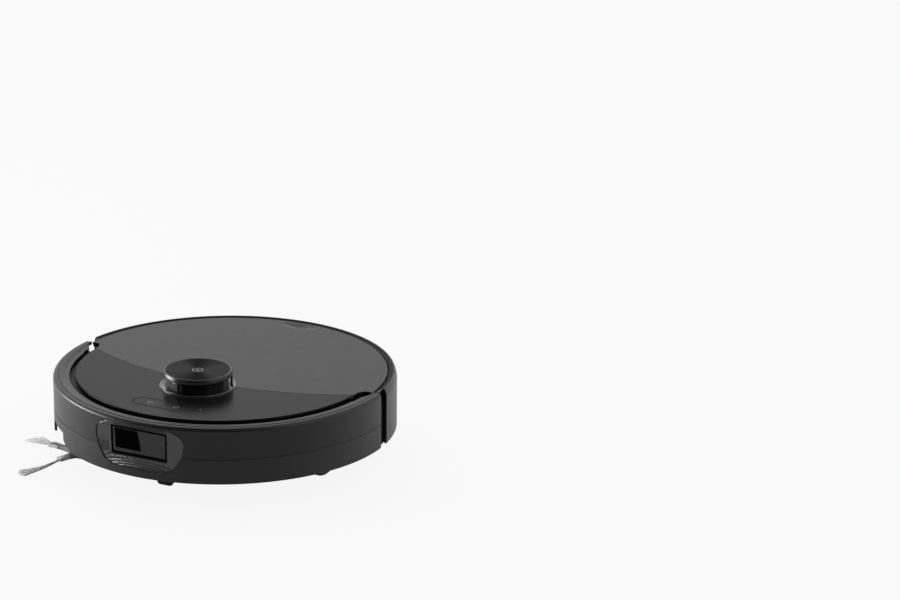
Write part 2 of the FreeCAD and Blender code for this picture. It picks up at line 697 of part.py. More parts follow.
def dustbin_lid():
    y0, y1 = BIN_Y
    lid = box(-BIN_X, BIN_X, y0, y1, 77.0, BIN_Z[1])
    grip = round_prism(-22, 22, y0 + 14, y1 - 14, 78.4, 90, 6)
    return lid.cut(grip)


def dustbin_handle():
    return round_prism(-21, 21, BIN_Y[0] + 24, BIN_Y[0] + 31, 78.4, 82.4, 3)


def dustbin_filter():
    """Pleated filter in a frame against the dustbin's outlet."""
    y0, y1 = BIN_Y[0] + 10, BIN_Y[1] - 10
    frame = box(BIN_X - 14, BIN_X - 2, y0, y1, 46, 76).cut(box(BIN_X - 15, BIN_X, y0 + 2, y1 - 2, 48, 74))
    pleats = [box(BIN_X - 13, BIN_X - 3, y0 + 1.5 + 4 * k, y0 + 2.3 + 4 * k, 47, 75) for k in range(8)]
    core = box(BIN_X - 8.5, BIN_X - 7.5, y0 + 1, y1 - 1, 47, 75)
    return fuse([frame, core] + pleats)


# ---------------------------------------------------------------- turret
def turret_base_ring():
    profile = [(RING_R, DECK_TOP), (RING_R, 86.2), (RING_R - 0.3, 86.8), (RING_R - 1.1, 87.1),
               (RING_R - 2.2, 86.9), (33.4, 85.8), (33.4, DECK_TOP)]
    ring = spin(profile)
    ring.translate(V(0, TURRET_Y, 0))
    return ring.cut([pillar(a, 0.3, 79, 90) for a in PILLAR_HEADINGS])


def pillar(degrees, grow, z0, z1):
    x, y = polar(PILLAR_R, degrees)
    post = box(-1.0 - grow, 1.0 + grow, -1.1 - grow, 1.1 + grow, z0, z1)
    post.rotate(V(0, 0, 0), UP, degrees + 90)
    post.translate(V(x, TURRET_Y + y, 0))
    return post


def turret_pillars():
    """Three posts that carry the cap past the spinning rotor."""
    return Part.makeCompound([pillar(a, 0.0, 82.2, CAP_UNDER) for a in PILLAR_HEADINGS])


def turret_cap():
    profile = [(0, 98.6), (31.6, 98.6), (31.6, CAP_UNDER), (CAP_R - 0.5, CAP_UNDER),
               (CAP_R, CAP_UNDER + 0.6), (34.6, CAP_TOP - 0.7), (34.0, CAP_TOP - 0.1), (33.2, CAP_TOP),
               (0, CAP_TOP - 0.9)]
    cap = spin(profile)
    cap.translate(V(0, TURRET_Y, 0))
    return cap


def lens_block(deeper):
    """Curved block of the rotor's dark window."""
    inner, outer = ROTOR_R - LENS_DEPTH, ROTOR_R + deeper
    low, high = LENS_Z[0], LENS_Z[1] + deeper
    outline = [(inner, low), (outer, low), (outer, high), (inner, high)]
    block = spin(outline, LENS_ARC[0], LENS_ARC[1] - LENS_ARC[0])
    block.translate(V(0, TURRET_Y, 0))
    return block


def lidar_rotor():
    """Spinning head: drum with a seat for the dark window, neck, and pulley below the deck."""
    drum = cyl(0, TURRET_Y, 81.0, 95.4, ROTOR_R)
    neck = cyl(0, TURRET_Y, 76.0, 81.5, NECK_R)
    pulley = cyl(0, TURRET_Y, PULLEY_Z[0], PULLEY_Z[1], 20.0)
    return fuse([drum, neck, pulley]).cut(lens_block(2.0))


def lidar_lens():
    return lens_block(0.0)


def lidar_motor():
    body = cyl(MOTOR_X, MOTOR_Y, 58.5, 71.0, 9.5)
    shaft = cyl(MOTOR_X, MOTOR_Y, 71.0, PULLEY_Z[1] + 0.6, 1.0)
    flange = cyl(MOTOR_X, MOTOR_Y, 57.9, 58.5, 7)
    return fuse([body, shaft, flange])


def lidar_motor_pulley():
    wheel = cyl(MOTOR_X, MOTOR_Y, PULLEY_Z[0], PULLEY_Z[1], 5.0)
    return wheel.cut(cyl(MOTOR_X, MOTOR_Y, 60, 90, 1.0 + RUNNING))


def lidar_belt():
    """Round belt over both pulleys, a hair clear of them."""
    def loop(extra, z0, z1):
        dx, dy = MOTOR_X, MOTOR_Y - TURRET_Y
        gap = math.hypot(dx, dy)
        r0, r1 = 20.0 + extra, 5.0 + extra
        lean = math.acos((r0 - r1) / gap)
        heading = math.atan2(dy, dx)
        sides = []
        for sign in (1, -1):
            a = heading + sign * lean
            sides.append(((r0 * math.cos(a), TURRET_Y + r0 * math.sin(a)),
                          (MOTOR_X + r1 * math.cos(a), MOTOR_Y + r1 * math.sin(a))))
        middle = prism([sides[0][0], sides[0][1], sides[1][1], sides[1][0]], z0, z1)
        return fuse([middle, cyl(0, TURRET_Y, z0, z1, r0), cyl(MOTOR_X, MOTOR_Y, z0, z1, r1)])

    return loop(1.3, 73.4, 75.2).cut(loop(0.3, 70, 80))


# ---------------------------------------------------------------- keys
def button_bezel():
    outer = pill(PILL_LENGTH + 1.0, PILL_WIDTH + 1.0, DECK_TOP, PLATE_TOP - 0.1)
    return outer.cut(pill(PILL_LENGTH - 1.0, PILL_WIDTH - 1.0, 70, 90))


def key(side):
    """One half of the pill, with a short stem below."""
    top = pill(PILL_LENGTH - 1.8, PILL_WIDTH - 1.8, 83.6, PLATE_TOP)
    half = box(0.2, 60, PILL_Y - 20, PILL_Y + 20, 60, 100)
    stem = box(12, 20, PILL_Y - 4, PILL_Y + 4, 76.0, 83.7)
    if side < 0:
        half, stem = mirrored(half), mirrored(stem)
    return top.common(half).fuse(stem)


# ---------------------------------------------------------------- wheels and caster
def wheel_arm():
    """Suspension arm with the wheel's gearbox; the wheel turns on its stub axle."""
    gearbox = Part.makeCylinder(18, 10.5, V(91.5, WHEEL_Y, WHEEL_R), ALONG_X)
    boss = Part.makeCylinder(8.0, 10.5, V(91.5, SUSPENSION_Y, SUSPENSION_Z), ALONG_X)
    web = box(91.5, 102, WHEEL_Y, SUSPENSION_Y, WHEEL_R - 6, SUSPENSION_Z + 5)
    axle = cyl_x(101, 127, WHEEL_Y, WHEEL_R, AXLE_R)
    arm = fuse([gearbox, boss, web, axle])
    return arm.cut(cyl_x(80, 110, SUSPENSION_Y, SUSPENSION_Z, AXLE_R + RUNNING))


def wheel_hub():
    x0 = WHEEL_X - WHEEL_WIDTH / 2
    rim = cyl_x(x0, x0 + WHEEL_WIDTH, WHEEL_Y, WHEEL_R, WHEEL_R - 6)
    dish = cyl_x(x0 + 15, x0 + 30, WHEEL_Y, WHEEL_R, WHEEL_R - 9)
    boss = cyl_x(x0 + 14, x0 + 23.5, WHEEL_Y, WHEEL_R, 8)
    spokes = []
    for k in range(6):
        rib = box(x0 + 14, x0 + 20, WHEEL_Y + 7, WHEEL_Y + WHEEL_R - 8, WHEEL_R - 1.5, WHEEL_R + 1.5)
        rib.rotate(V(0, WHEEL_Y, WHEEL_R), ALONG_X, k * 60)
        spokes.append(rib)
    hub = fuse([rim.cut(dish), boss] + spokes)
    return hub.cut(cyl_x(x0 - 5, x0 + 23.1, WHEEL_Y, WHEEL_R, AXLE_R + RUNNING))


def wheel_tyre():
    """Rubber tyre with cross bars."""
    x0 = WHEEL_X - WHEEL_WIDTH / 2
    ring = cyl_x(x0, x0 + WHEEL_WIDTH, WHEEL_Y, WHEEL_R, WHEEL_R)
    ring = ring.cut(cyl_x(x0 - 1, x0 + WHEEL_WIDTH + 1, WHEEL_Y, WHEEL_R, WHEEL_R - 6))
    grooves = []
    count = 28
    for k in range(count):
        groove = box(x0 + 1.5, x0 + WHEEL_WIDTH - 1.5, WHEEL_Y + WHEEL_R - 2.0, WHEEL_Y + WHEEL_R + 2,
                     WHEEL_R - 1.3, WHEEL_R + 1.3)
        groove.rotate(V(0, WHEEL_Y, WHEEL_R), ALONG_X, (k + 0.5) * 360.0 / count)
        grooves.append(groove)
    return ring.cut(grooves)


def caster_fork():
    """Swivelling caster housing with its pin up into the tray."""
    wheel_y = CASTER_Y + CASTER_TRAIL
    body = cone(0, CASTER_Y, 16.5, 21.0, 19.0, 20.0)
    pin = cyl(0, CASTER_Y, 20.0, 35.5, CASTER_PIN_R)
    outline = [(-9.8, 17), (-9.8, 12.4), (0, 6.8), (5.5, 6.8), (8, 17)]
    side = polygon([(-10.2, wheel_y + y, z) for y, z in outline])
    cheeks = Part.Face(side).extrude(V(20.4, 0, 0))
    hollow = box(-7.3, 7.3, wheel_y - CASTER_R - 1.5, wheel_y + CASTER_R + 1.5, 0, CASTER_R * 2 + 1.5)
    axle = cyl_x(-9, 9, wheel_y, CASTER_R, 1.5)
    return fuse([body, pin, cheeks]).cut(hollow).fuse(axle)


def caster_wheel():
    wheel_y = CASTER_Y + CASTER_TRAIL
    wheel = cyl_x(-6.7, 6.7, wheel_y, CASTER_R, CASTER_R)
    rims = [e for e in wheel.Edges if abs(e.BoundBox.XLength) < 1e-6]
    return wheel.makeFillet(1.5, rims).cut(cyl_x(-20, 20, wheel_y, CASTER_R, 1.5 + RUNNING))


# ---------------------------------------------------------------- brushes
def star(radius, count, depth, x, phase):
    """Closed outline of a bladed roller, in the plane across its axis."""
    points = []
    for k in range(count):
        for offset, r in ((-0.16, depth), (-0.05, radius), (0.05, radius), (0.16, depth)):
            a = phase + (k + offset * count / 6.0) * 2 * math.pi / count
            points.append((x, BRUSH_Y + r * math.cos(a), BRUSH_Z + r * math.sin(a)))
    return polygon(points)


def main_brush():
    """One half of the split roller, tapered towards the middle, with twisted rubber blades."""
    near, far = 2.0, BRUSH_HALF
    stations = 4
    wires = []
    for k in range(stations):
        t = k / (stations - 1)
        wires.append(star(BRUSH_R - 3 * (1 - t), 6, 15 - 3 * (1 - t), near + (far - near) * t, 0.9 * t))
    blades = Part.makeLoft(wires, True, True)
    core = Part.makeCone(12, 15, far - near, V(near, BRUSH_Y, BRUSH_Z), ALONG_X)
    bore = cyl_x(70, far + 1, BRUSH_Y, BRUSH_Z, 3.0 + RUNNING)
    return blades.fuse(core).cut(bore)


def side_brush_arm():
    """Arm with the side brush's gearbox; it swings out about a post in the tray."""
    z0, z1 = ARM_Z
    body = capsule(ARM_PIVOT, BRUSH_HUB, 13.0, z0, z1 - 3)
    head = cyl(BRUSH_HUB[0], BRUSH_HUB[1], z0, z1, 15.0)
    shaft = cyl(BRUSH_HUB[0], BRUSH_HUB[1], 5.0, z0 + 1, 3.0)
    return fuse([body, head, shaft]).cut(cyl(ARM_PIVOT[0], ARM_PIVOT[1], 0, 60, 4.0 + RUNNING))


def side_brush_hub():
    """Rubber hub with the roots of its two arms."""
    x, y = BRUSH_HUB
    hub = cone(x, y, 3.6, 13.6, 9.0, 13.0)
    arms = []
    for heading in BRISTLE_HEADINGS:
        end = turned((x + 33.2, y), (x, y), heading)
        arms.append(capsule((x, y), end, 4.2, 5.4, 9.6))
    return fuse([hub] + arms).cut(cyl(x, y, 4.6, 20, 3.0 + RUNNING))


def side_brush_bristles():
    """Two flat tufts that fan out and droop towards the floor."""
    x, y = BRUSH_HUB
    tufts = []
    for heading in BRISTLE_HEADINGS:
        outline = [(37.5, -3.6), (37.5, 3.6), (62, 9.5), (88, 16.0), (91, -4.0), (86, -15.5), (62, -9.0)]
        tuft = prism([(x + a, y + b) for a, b in outline], 1.6, 7.0)
        tuft.rotate(V(x, y, 0), UP, heading)
        tufts.append(tuft)
    return Part.makeCompound(tufts)


# ---------------------------------------------------------------- mops
def mop_bracket():
    """Gearbox that lifts both mops on two guide posts and carries the left spindle."""
    z0, z1 = BRACKET_Z
    body = capsule((6, MOP_Y), (MOP_X, MOP_Y), 12.0, z0, z1)
    spine = capsule(GUIDE_POSTS[0], GUIDE_POSTS[1], 8.0, z0, z1)
    link = capsule(GUIDE_POSTS[1], MOP_PIVOT, 8.0, z1 - 4.4, z1)
    pivot = cyl(MOP_PIVOT[0], MOP_PIVOT[1], z0, z1, 4.0)
    guides = [cyl(x, y, 0, 60, 3.0 + RUNNING) for x, y in GUIDE_POSTS]
    spindle = cyl(MOP_X, MOP_Y, 7.5, z0 + 1, 3.5)
    return fuse([body, spine, link, pivot, spindle]).cut(guides)


def mop_swing_arm():
    """Arm that swings the right mop out past the robot's side."""
    z0, z1 = BRACKET_Z
    body = capsule(MOP_PIVOT, (-MOP_X, MOP_Y), 10.0, z0, z1 - 4.8)
    spindle = cyl(-MOP_X, MOP_Y, 7.5, z0 + 1, 3.5)
    return fuse([body, spindle]).cut(cyl(MOP_PIVOT[0], MOP_PIVOT[1], 0, 60, 4.0 + RUNNING))


def mop_plate(side):
    x = side * MOP_X
    disc = cyl(x, MOP_Y, 5.6, 8.0, 57.0)
    hub = cyl(x, MOP_Y, 6.0, 11.8, 14.0)
    ribs = [box(x - 55, x + 55, MOP_Y - 1, MOP_Y + 1, 7.5, 9.6),
            box(x - 1, x + 1, MOP_Y - 55, MOP_Y + 55, 7.5, 9.6)]
    return fuse([disc, hub] + ribs).cut(cyl(x, MOP_Y, 7.0, 20, 3.5 + RUNNING))


def mop_pad(side):
    x = side * MOP_X
    pad = cyl(x, MOP_Y, 0, 5.6, MOP_R)
    upper = [e for e in pad.Edges if abs(e.BoundBox.ZMax - 5.6) < 1e-6 and e.BoundBox.ZLength < 1e-6]
    return pad.makeFillet(2.0, upper)


# ---------------------------------------------------------------- files
def nodes():
    made = {
        "bumper_shell": bumper_shell(),
        "bumper_skirt": bumper_skirt(),
        "window_bezel": window_bezel(),
        "window_glass": window_glass(),
        "rear_shell": rear_shell(),
        "front_plate": front_plate(),
        "rear_cover": rear_cover(),
        "chassis_tray": chassis_tray(),
        "frame_wall": frame_wall(),
        "deck": deck(),
        "bays": bays(),
        "bearings": bearings(),
        "brush_guard": brush_guard(),
        "screws": screws(),
        "cliff_sensors": cliff_sensors(),
        "battery_pack": battery_pack(),
        "circuit_board": circuit_board(),
        "speaker": speaker(),
        "obstacle_camera": obstacle_camera(),
        "intake_seal": intake_seal(),
        "fan_housing": fan_housing(),
        "fan_impeller": fan_impeller(),
        "water_tank": water_tank(),
        "tank_cap": tank_cap(),
        "water_inlet": water_inlet(),
        "charging_contacts": charging_contacts(),
        "dustbin_box": dustbin_box(),
        "dustbin_lid": dustbin_lid(),
        "dustbin_handle": dustbin_handle(),
        "dustbin_filter": dustbin_filter(),
        "turret_base_ring": turret_base_ring(),
        "turret_pillars": turret_pillars(),
        "turret_cap": turret_cap(),
        "lidar_rotor": lidar_rotor(),
        "lidar_lens": lidar_lens(),
        "lidar_motor": lidar_motor(),
        "lidar_motor_pulley": lidar_motor_pulley(),
        "lidar_belt": lidar_belt(),
        "button_bezel": button_bezel(),
        "power_key": key(-1),
        "dock_key": key(1),
        "caster_fork": caster_fork(),
        "caster_wheel": caster_wheel(),
        "side_brush_arm": side_brush_arm(),
        "side_brush_hub": side_brush_hub(),
        "side_brush_bristles": side_brush_bristles(),
        "mop_bracket": mop_bracket(),
        "mop_swing_arm": mop_swing_arm(),
    }
    for name, side in (("left", 1), ("right", -1)):
        pieces = {"wheel_arm": wheel_arm(), "wheel_hub": wheel_hub(), "wheel_tyre": wheel_tyre(),
                  "main_brush": main_brush()}
        for part, shape in pieces.items():
            made[name + "_" + part] = shape if side > 0 else mirrored(shape)
        made[name + "_mop_plate"] = mop_plate(side)
        made[name + "_mop_pad"] = mop_pad(side)
    return made


def main():
    os.makedirs("parts", exist_ok=True)
    for name, shape in nodes().items():
        print(name, "solids", len(shape.Solids), "valid", shape.isValid())
        shape.exportStep("parts/" + name + ".step")


main()
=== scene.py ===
"""Dresses the disc-shaped robot vacuum: outer skins, turret, keys, brushes, pads and finishes.

Outlines are written in millimetres and scaled to metres when a piece is made. The front faces -Y,
the robot's right-hand side, with the side brush, is -X, and angles are counted from the front
towards +X.
"""

import json
import math
import random

import bmesh
import bpy
from mathutils import Euler, Matrix, Vector


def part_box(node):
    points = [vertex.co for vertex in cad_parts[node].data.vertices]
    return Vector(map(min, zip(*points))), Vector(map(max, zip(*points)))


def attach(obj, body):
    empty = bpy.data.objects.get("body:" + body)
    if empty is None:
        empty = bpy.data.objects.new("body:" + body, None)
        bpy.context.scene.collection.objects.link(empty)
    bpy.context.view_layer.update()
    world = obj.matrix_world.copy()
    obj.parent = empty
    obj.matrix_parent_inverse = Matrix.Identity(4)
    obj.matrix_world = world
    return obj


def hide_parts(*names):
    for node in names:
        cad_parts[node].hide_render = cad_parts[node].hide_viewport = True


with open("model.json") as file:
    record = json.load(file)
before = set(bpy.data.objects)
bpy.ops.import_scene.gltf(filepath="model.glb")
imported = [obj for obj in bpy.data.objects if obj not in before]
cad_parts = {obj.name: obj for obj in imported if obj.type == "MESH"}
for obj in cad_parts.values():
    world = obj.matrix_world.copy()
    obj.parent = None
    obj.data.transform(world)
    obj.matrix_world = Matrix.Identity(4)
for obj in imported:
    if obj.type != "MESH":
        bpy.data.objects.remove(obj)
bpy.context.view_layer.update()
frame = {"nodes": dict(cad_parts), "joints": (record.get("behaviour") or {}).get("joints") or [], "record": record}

bl_info = {
    "name": "Robot Vacuum",
    "version": (1, 0, 0),
    "blender": (4, 5, 0),
    "location": "3D View > Sidebar > Robot Vacuum",
    "description": "Skins, turret, brushes, pads and finishes of a disc-shaped robot vacuum",
    "category": "Object",
}

MM = 0.001


def span(node):
    """Lowest and highest corner of a CAD node, in millimetres."""
    low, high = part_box(node)
    return Vector(low) / MM, Vector(high) / MM


# Driving sizes, read from the frame (mm)
BODY_R = span("bumper_shell")[1].x
CREST_Z = span("bumper_shell")[1].z
SEAM_Z = span("bumper_shell")[0].z
SHELL_BOTTOM = span("bumper_skirt")[0].z
PLATE_TOP = span("front_plate")[1].z
PLATE_R = span("front_plate")[1].x
DECK_Z = span("front_plate")[0].z
COVER_R = BODY_R - 9.4
CAP_TOP = span("turret_cap")[1].z
CAP_UNDER = span("turret_cap")[0].z
CAP_R = span("turret_cap")[1].x
TURRET = (0.0, span("turret_cap")[0].y + CAP_R)
GLASS_Y = span("window_glass")[0].y
BRUSH_JOINT = next(j for j in frame["joints"] if j["name"] == "side_brush_spin")
HUB = tuple(c / MM for c in BRUSH_JOINT["pos_m"][:2])

# Sizes that the frame's corners don't give (mm)
SKIN = 2.7
BUMPER_SHOULDER_Z = 80.6
SHOULDER_Z = 74.5
BUMPER_END = 93.2
SHELL_START = 97.8
LEDGE_START = 94.8
PLATE_UNDER = 83.3
SEAM_ARC_R = 326.0
SEAM_ARC_Y = 281.5
SEAM_GAP = 0.2
BRUSH_GAP = -38.7
TURRET_HOLE_R = 40.2
RING_R = 38.7
ROTOR_R = 31.0
POST_R = 34.0
POST_HEADINGS = (-3.5, 116.5, 236.5)
LENS_ARC = (-2.0, 86.0)
FUNNEL_BACK = -159.5
LEDGE_TOP = 84.2
PILL_Y = -121.0
PILL_LENGTH = 70.0
PILL_WIDTH = 20.0
WINDOW_MID_Z = 58.0
WINDOW_OUTLINE = ((-36, 80), (36, 80), (48, 74), (51, 66), (48, 52), (40, 40), (30, 35.5),
                  (-30, 35.5), (-40, 40), (-48, 52), (-51, 66), (-48, 74))
WINDOW_FLOOR = ((-31.4, 75.3), (31.4, 75.3), (32.2, 74.5), (32.2, 66), (32.2, 54), (32.2, 46.5),
                (31.4, 45.7), (-31.4, 45.7), (-32.2, 46.5), (-32.2, 54), (-32.2, 66), (-32.2, 74.5))


# ---------------------------------------------------------------- settings
def colour_property(name, value, about):
    return bpy.props.FloatVectorProperty(name=name, description=about, subtype="COLOR", default=value,
                                         size=3, min=0.0, max=1.0)


class RobotColours(bpy.types.PropertyGroup):
    shell: colour_property("Shell", (0.004, 0.004, 0.0041), "Bumper and rear shell")
    cover: colour_property("Cover", (0.021, 0.0203, 0.0206), "Lift-off rear cover")
    plate: colour_property("Front plate", (0.008, 0.008, 0.0081), "Fixed plate in front of the turret")
    metallic: colour_property("Window bezel", (0.080, 0.080, 0.080), "Satin metallic funnel round the glass")
    bristle: colour_property("Bristle", (0.86, 0.86, 0.85), "Nylon of the side brush")
    pad: colour_property("Mop pad", (0.30, 0.32, 0.35), "Looped cloth of the mop pads")


class RobotSizes(bpy.types.PropertyGroup):
    rim_columns: bpy.props.IntProperty(
        name="Rim columns", description="Columns of faces round a full turn of the shells",
        default=360, min=90)
    edge_round: bpy.props.FloatProperty(
        name="Plate edge", description="Radius of the rolled edge of the top plates", default=0.0011,
        min=0.0002, max=0.002, unit="LENGTH")
    bristles: bpy.props.IntProperty(
        name="Bristles", description="Strands in each tuft of the side brush", default=90, min=10)
    bristle_radius: bpy.props.FloatProperty(
        name="Bristle radius", description="Radius of one strand", default=0.00017, unit="LENGTH")


class StageSettings(bpy.types.PropertyGroup):
    lens: bpy.props.FloatProperty(name="Lens", description="Focal length of the camera, in mm", default=140.0)
    camera_place: bpy.props.FloatVectorProperty(
        name="Camera", description="Place of the camera", size=3, subtype="TRANSLATION",
        default=(1.7185, -2.9081, 1.2738))
    camera_tilt: bpy.props.FloatProperty(
        name="Tilt", description="Camera tilt from straight down", default=math.radians(71.741),
        subtype="ANGLE")
    camera_turn: bpy.props.FloatProperty(
        name="Turn", description="Camera turn about the upright", default=math.radians(26.701),
        subtype="ANGLE")
    camera_roll: bpy.props.FloatProperty(
        name="Roll", description="Camera roll about its line of sight", default=math.radians(0.48),
        subtype="ANGLE")
    floor_colour: colour_property("Floor", (0.80, 0.80, 0.80), "Plain pale floor")
    light_level: bpy.props.FloatProperty(
        name="Light level", description="Scales every lamp", default=1.0, min=0.0)


# ---------------------------------------------------------------- outlines
def around(r, degrees, centre=(0.0, 0.0)):
    a = math.radians(degrees)
    return centre[0] + r * math.sin(a), centre[1] - r * math.cos(a)


def angle_from_front(point, centre=(0.0, 0.0)):
    return math.degrees(math.atan2(point[0] - centre[0], centre[1] - point[1]))


def arc_through(a, m, b, steps):
    """Points of the circular arc from a through m to b."""
    (ax, ay), (bx, by), (cx, cy) = a, m, b
    sa, sb, sc = ax * ax + ay * ay, bx * bx + by * by, cx * cx + cy * cy
    d = 2 * (ax * (by - cy) + bx * (cy - ay) + cx * (ay - by))
    ux = (sa * (by - cy) + sb * (cy - ay) + sc * (ay - by)) / d
    uy = (sa * (cx - bx) + sb * (ax - cx) + sc * (bx - ax)) / d
    start, via, end = (math.atan2(y - uy, x - ux) for x, y in (a, m, b))
    turn = (end - start) % math.tau
    if (via - start) % math.tau > turn:
        turn -= math.tau
    r = math.hypot(ax - ux, ay - uy)
    return [(ux + r * math.cos(start + turn * k / steps), uy + r * math.sin(start + turn * k / steps))
            for k in range(steps + 1)]


def arc_round(centre, r, start, end, steps):
    """Points of an arc about a centre, between two angles from the front."""
    return [around(r, start + (end - start) * k / steps, centre) for k in range(steps + 1)]


def rounded(outline, radius, steps):
    """Closed outline with every corner rounded."""
    points = []
    count = len(outline)
    for k in range(count):
        before, corner, after = (Vector(outline[(k + s) % count]) for s in (-1, 0, 1))
        to_before, to_after = before - corner, after - corner
        half = to_before.angle(to_after) / 2
        reach = min(radius / math.tan(half), 0.48 * to_before.length, 0.48 * to_after.length)
        first = corner + to_before.normalized() * reach
        last = corner + to_after.normalized() * reach
        for s in range(steps + 1):
            t = s / steps
            points.append(tuple(first * (1 - t) ** 2 + corner * 2 * t * (1 - t) + last * t ** 2))
    return points


def inset(outline, distance):
    """Closed outline moved to its inside; the outline runs counter-clockwise or clockwise."""
    count = len(outline)
    area = sum(outline[k][0] * outline[(k + 1) % count][1] - outline[(k + 1) % count][0] * outline[k][1]
               for k in range(count))
    side = 1 if area > 0 else -1
    moved = []
    for k in range(count):
        before, here, after = (Vector(outline[(k + s) % count]) for s in (-1, 0, 1))
        edge_in, edge_out = (here - before).normalized(), (after - here).normalized()
        normal = Vector((-(edge_in + edge_out).y, (edge_in + edge_out).x)).normalized() * side
        slant = max(0.5, normal.dot(Vector((-edge_in.y, edge_in.x)) * side))
        moved.append(tuple(here + normal * distance / slant))
    return moved


def rectangle(x0, y0, x1, y1):
    return [(x0, y0), (x1, y0), (x1, y1), (x0, y1)]


def circle(centre, r, steps):
    return [around(r, 360 * k / steps, centre) for k in range(steps)]


def pill(wider, grow=0.0):
    """Outline of the pill that holds both keys, so much longer and wider than the keys."""
    half, r = (PILL_LENGTH - PILL_WIDTH) / 2, (PILL_WIDTH + wider) / 2 + grow
    return arc_round((half, PILL_Y), r, 0, 180, 16) + arc_round((-half, PILL_Y), r, 180, 360, 16)


def crossing(y0, r0, y1, r1):
    """Right-hand point where two circles centred on the Y axis meet."""
    y = (r0 ** 2 - r1 ** 2 + y1 ** 2 - y0 ** 2) / (2 * (y1 - y0))
    return math.sqrt(r0 ** 2 - (y - y0) ** 2), y


# ---------------------------------------------------------------- meshes
def mesh_of(name, corners, faces):
    """Mesh in metres from corners in millimetres, welded and with outward faces."""
    mesh = bpy.data.meshes.new(name)
    mesh.from_pydata([tuple(c * MM for c in corner) for corner in corners], [], faces)
    return tidy(mesh)


def tidy(mesh, weld=2e-6):
    work = bmesh.new()
    work.from_mesh(mesh)
    bmesh.ops.remove_doubles(work, verts=work.verts, dist=weld)
    bmesh.ops.dissolve_degenerate(work, edges=work.edges, dist=weld)
    bmesh.ops.recalc_face_normals(work, faces=work.faces)
    work.to_mesh(mesh)
    work.free()
    return mesh


def lathe(name, profile, start=0.0, sweep=360.0, steps=360, centre=(0.0, 0.0), end_round=0.0):
    """Closed body of revolution of an (r, z) outline about an upright axis."""
    whole = sweep >= 360.0
    columns = []
    if whole:
        columns = [(start + sweep * k / steps, profile) for k in range(steps)]
    else:
        for k in range(steps + 1):
            columns.append((start + sweep * k / steps, profile))
        if end_round:
            reach = math.degrees(end_round / max(r for r, z in profile))
            soft = []
            for depth, back in ((1.0, 0.0), (0.3, 0.3), (0.0, 1.0)):
                soft.append((reach * back, inset(profile, end_round * depth) if depth else profile))
            columns = [(start + back, shape) for back, shape in soft] + columns[1:-1]
            columns += [(start + sweep - back, shape) for back, shape in reversed(soft)]
    count = len(profile)
    corners = [(*around(r, angle, centre), z) for angle, shape in columns for r, z in shape]
    faces = []
    pairs = len(columns) if whole else len(columns) - 1
    for c in range(pairs):
        here, there = c * count, (c + 1) % len(columns) * count
        for k in range(count):
            n = (k + 1) % count
            faces.append((here + k, there + k, there + n, here + n))
    if not whole:
        faces.append(tuple(range(count)))
        faces.append(tuple(range((len(columns) - 1) * count, len(columns) * count)))
    return mesh_of(name, corners, faces)


def loft(name, rings, closed=False):
    """Skin over rings of equal count; open lofts get a face over each end."""
    count = len(rings[0])
    corners = [p for ring in rings for p in ring]
    faces = []
    for r in range(len(rings) if closed else len(rings) - 1):
        here, there = r * count, (r + 1) % len(rings) * count
        for k in range(count):
            n = (k + 1) % count
            faces.append((here + k, here + n, there + n, there + k))
    if not closed:
        faces.append(tuple(range(count)))
        faces.append(tuple(range((len(rings) - 1) * count, len(rings) * count)))
    return mesh_of(name, corners, faces)


def block(name, low, high, edge, steps=2):
    """Box with rounded edges."""
    mesh = bpy.data.meshes.new(name)
    work = bmesh.new()
    bmesh.ops.create_cube(work, size=1.0)
    size = Vector(high) - Vector(low)
    middle = (Vector(high) + Vector(low)) / 2
    bmesh.ops.scale(work, vec=size * MM, verts=work.verts)
    bmesh.ops.translate(work, vec=middle * MM, verts=work.verts)
    if edge:
        bmesh.ops.bevel(work, geom=work.edges[:], offset=edge * MM, segments=steps, profile=0.5,
                        affect="EDGES")
    work.to_mesh(mesh)
    work.free()
    return mesh


def evaluated(thing):
    return bpy.data.meshes.new_from_object(thing.evaluated_get(bpy.context.evaluated_depsgraph_get()))


def temporary(name, data):
    thing = bpy.data.objects.new(name, data)
    bpy.context.scene.collection.objects.link(thing)
    return thing


def plate(name, outlines, z0, z1, edge, steps):
    """Flat plate over closed outlines, the inner ones being holes, with rolled edges."""
    curve = bpy.data.curves.new(name, "CURVE")
    curve.dimensions = "2D"
    curve.fill_mode = "BOTH"
    curve.extrude = ((z1 - z0) / 2 - edge) * MM
    curve.bevel_depth = edge * MM
    curve.bevel_resolution = steps
    curve.offset = -edge * MM
    for outline in outlines:
        spline = curve.splines.new("POLY")
        spline.points.add(len(outline) - 1)
        for point, (x, y) in zip(spline.points, outline):
            point.co = (x * MM, y * MM, 0.0, 1.0)
        spline.use_cyclic_u = True
    holder = temporary(name, curve)
    mesh = evaluated(holder)
    bpy.data.objects.remove(holder)
    bpy.data.curves.remove(curve)
    mesh.transform(Matrix.Translation((0, 0, (z0 + z1) / 2 * MM)))
    return tidy(mesh, 5e-6)


def carved(mesh, cutters, operation="DIFFERENCE"):
    """Mesh after cutting the cutter meshes out of it, or adding them to it."""
    holder = temporary("carved", mesh)
    tools = []
    for cutter in cutters:
        tool = temporary("cutter", cutter)
        step = holder.modifiers.new("cut", "BOOLEAN")
        step.operation = operation
        step.solver = "EXACT"
        step.object = tool
        tools.append(tool)
    result = evaluated(holder)
    for thing in [holder] + tools:
        bpy.data.objects.remove(thing)
    return tidy(result)


def joined(name, meshes):
    """One mesh that holds several closed bodies side by side."""
    work = bmesh.new()
    for mesh in meshes:
        work.from_mesh(mesh)
    result = bpy.data.meshes.new(name)
    work.to_mesh(result)
    work.free()
    return result


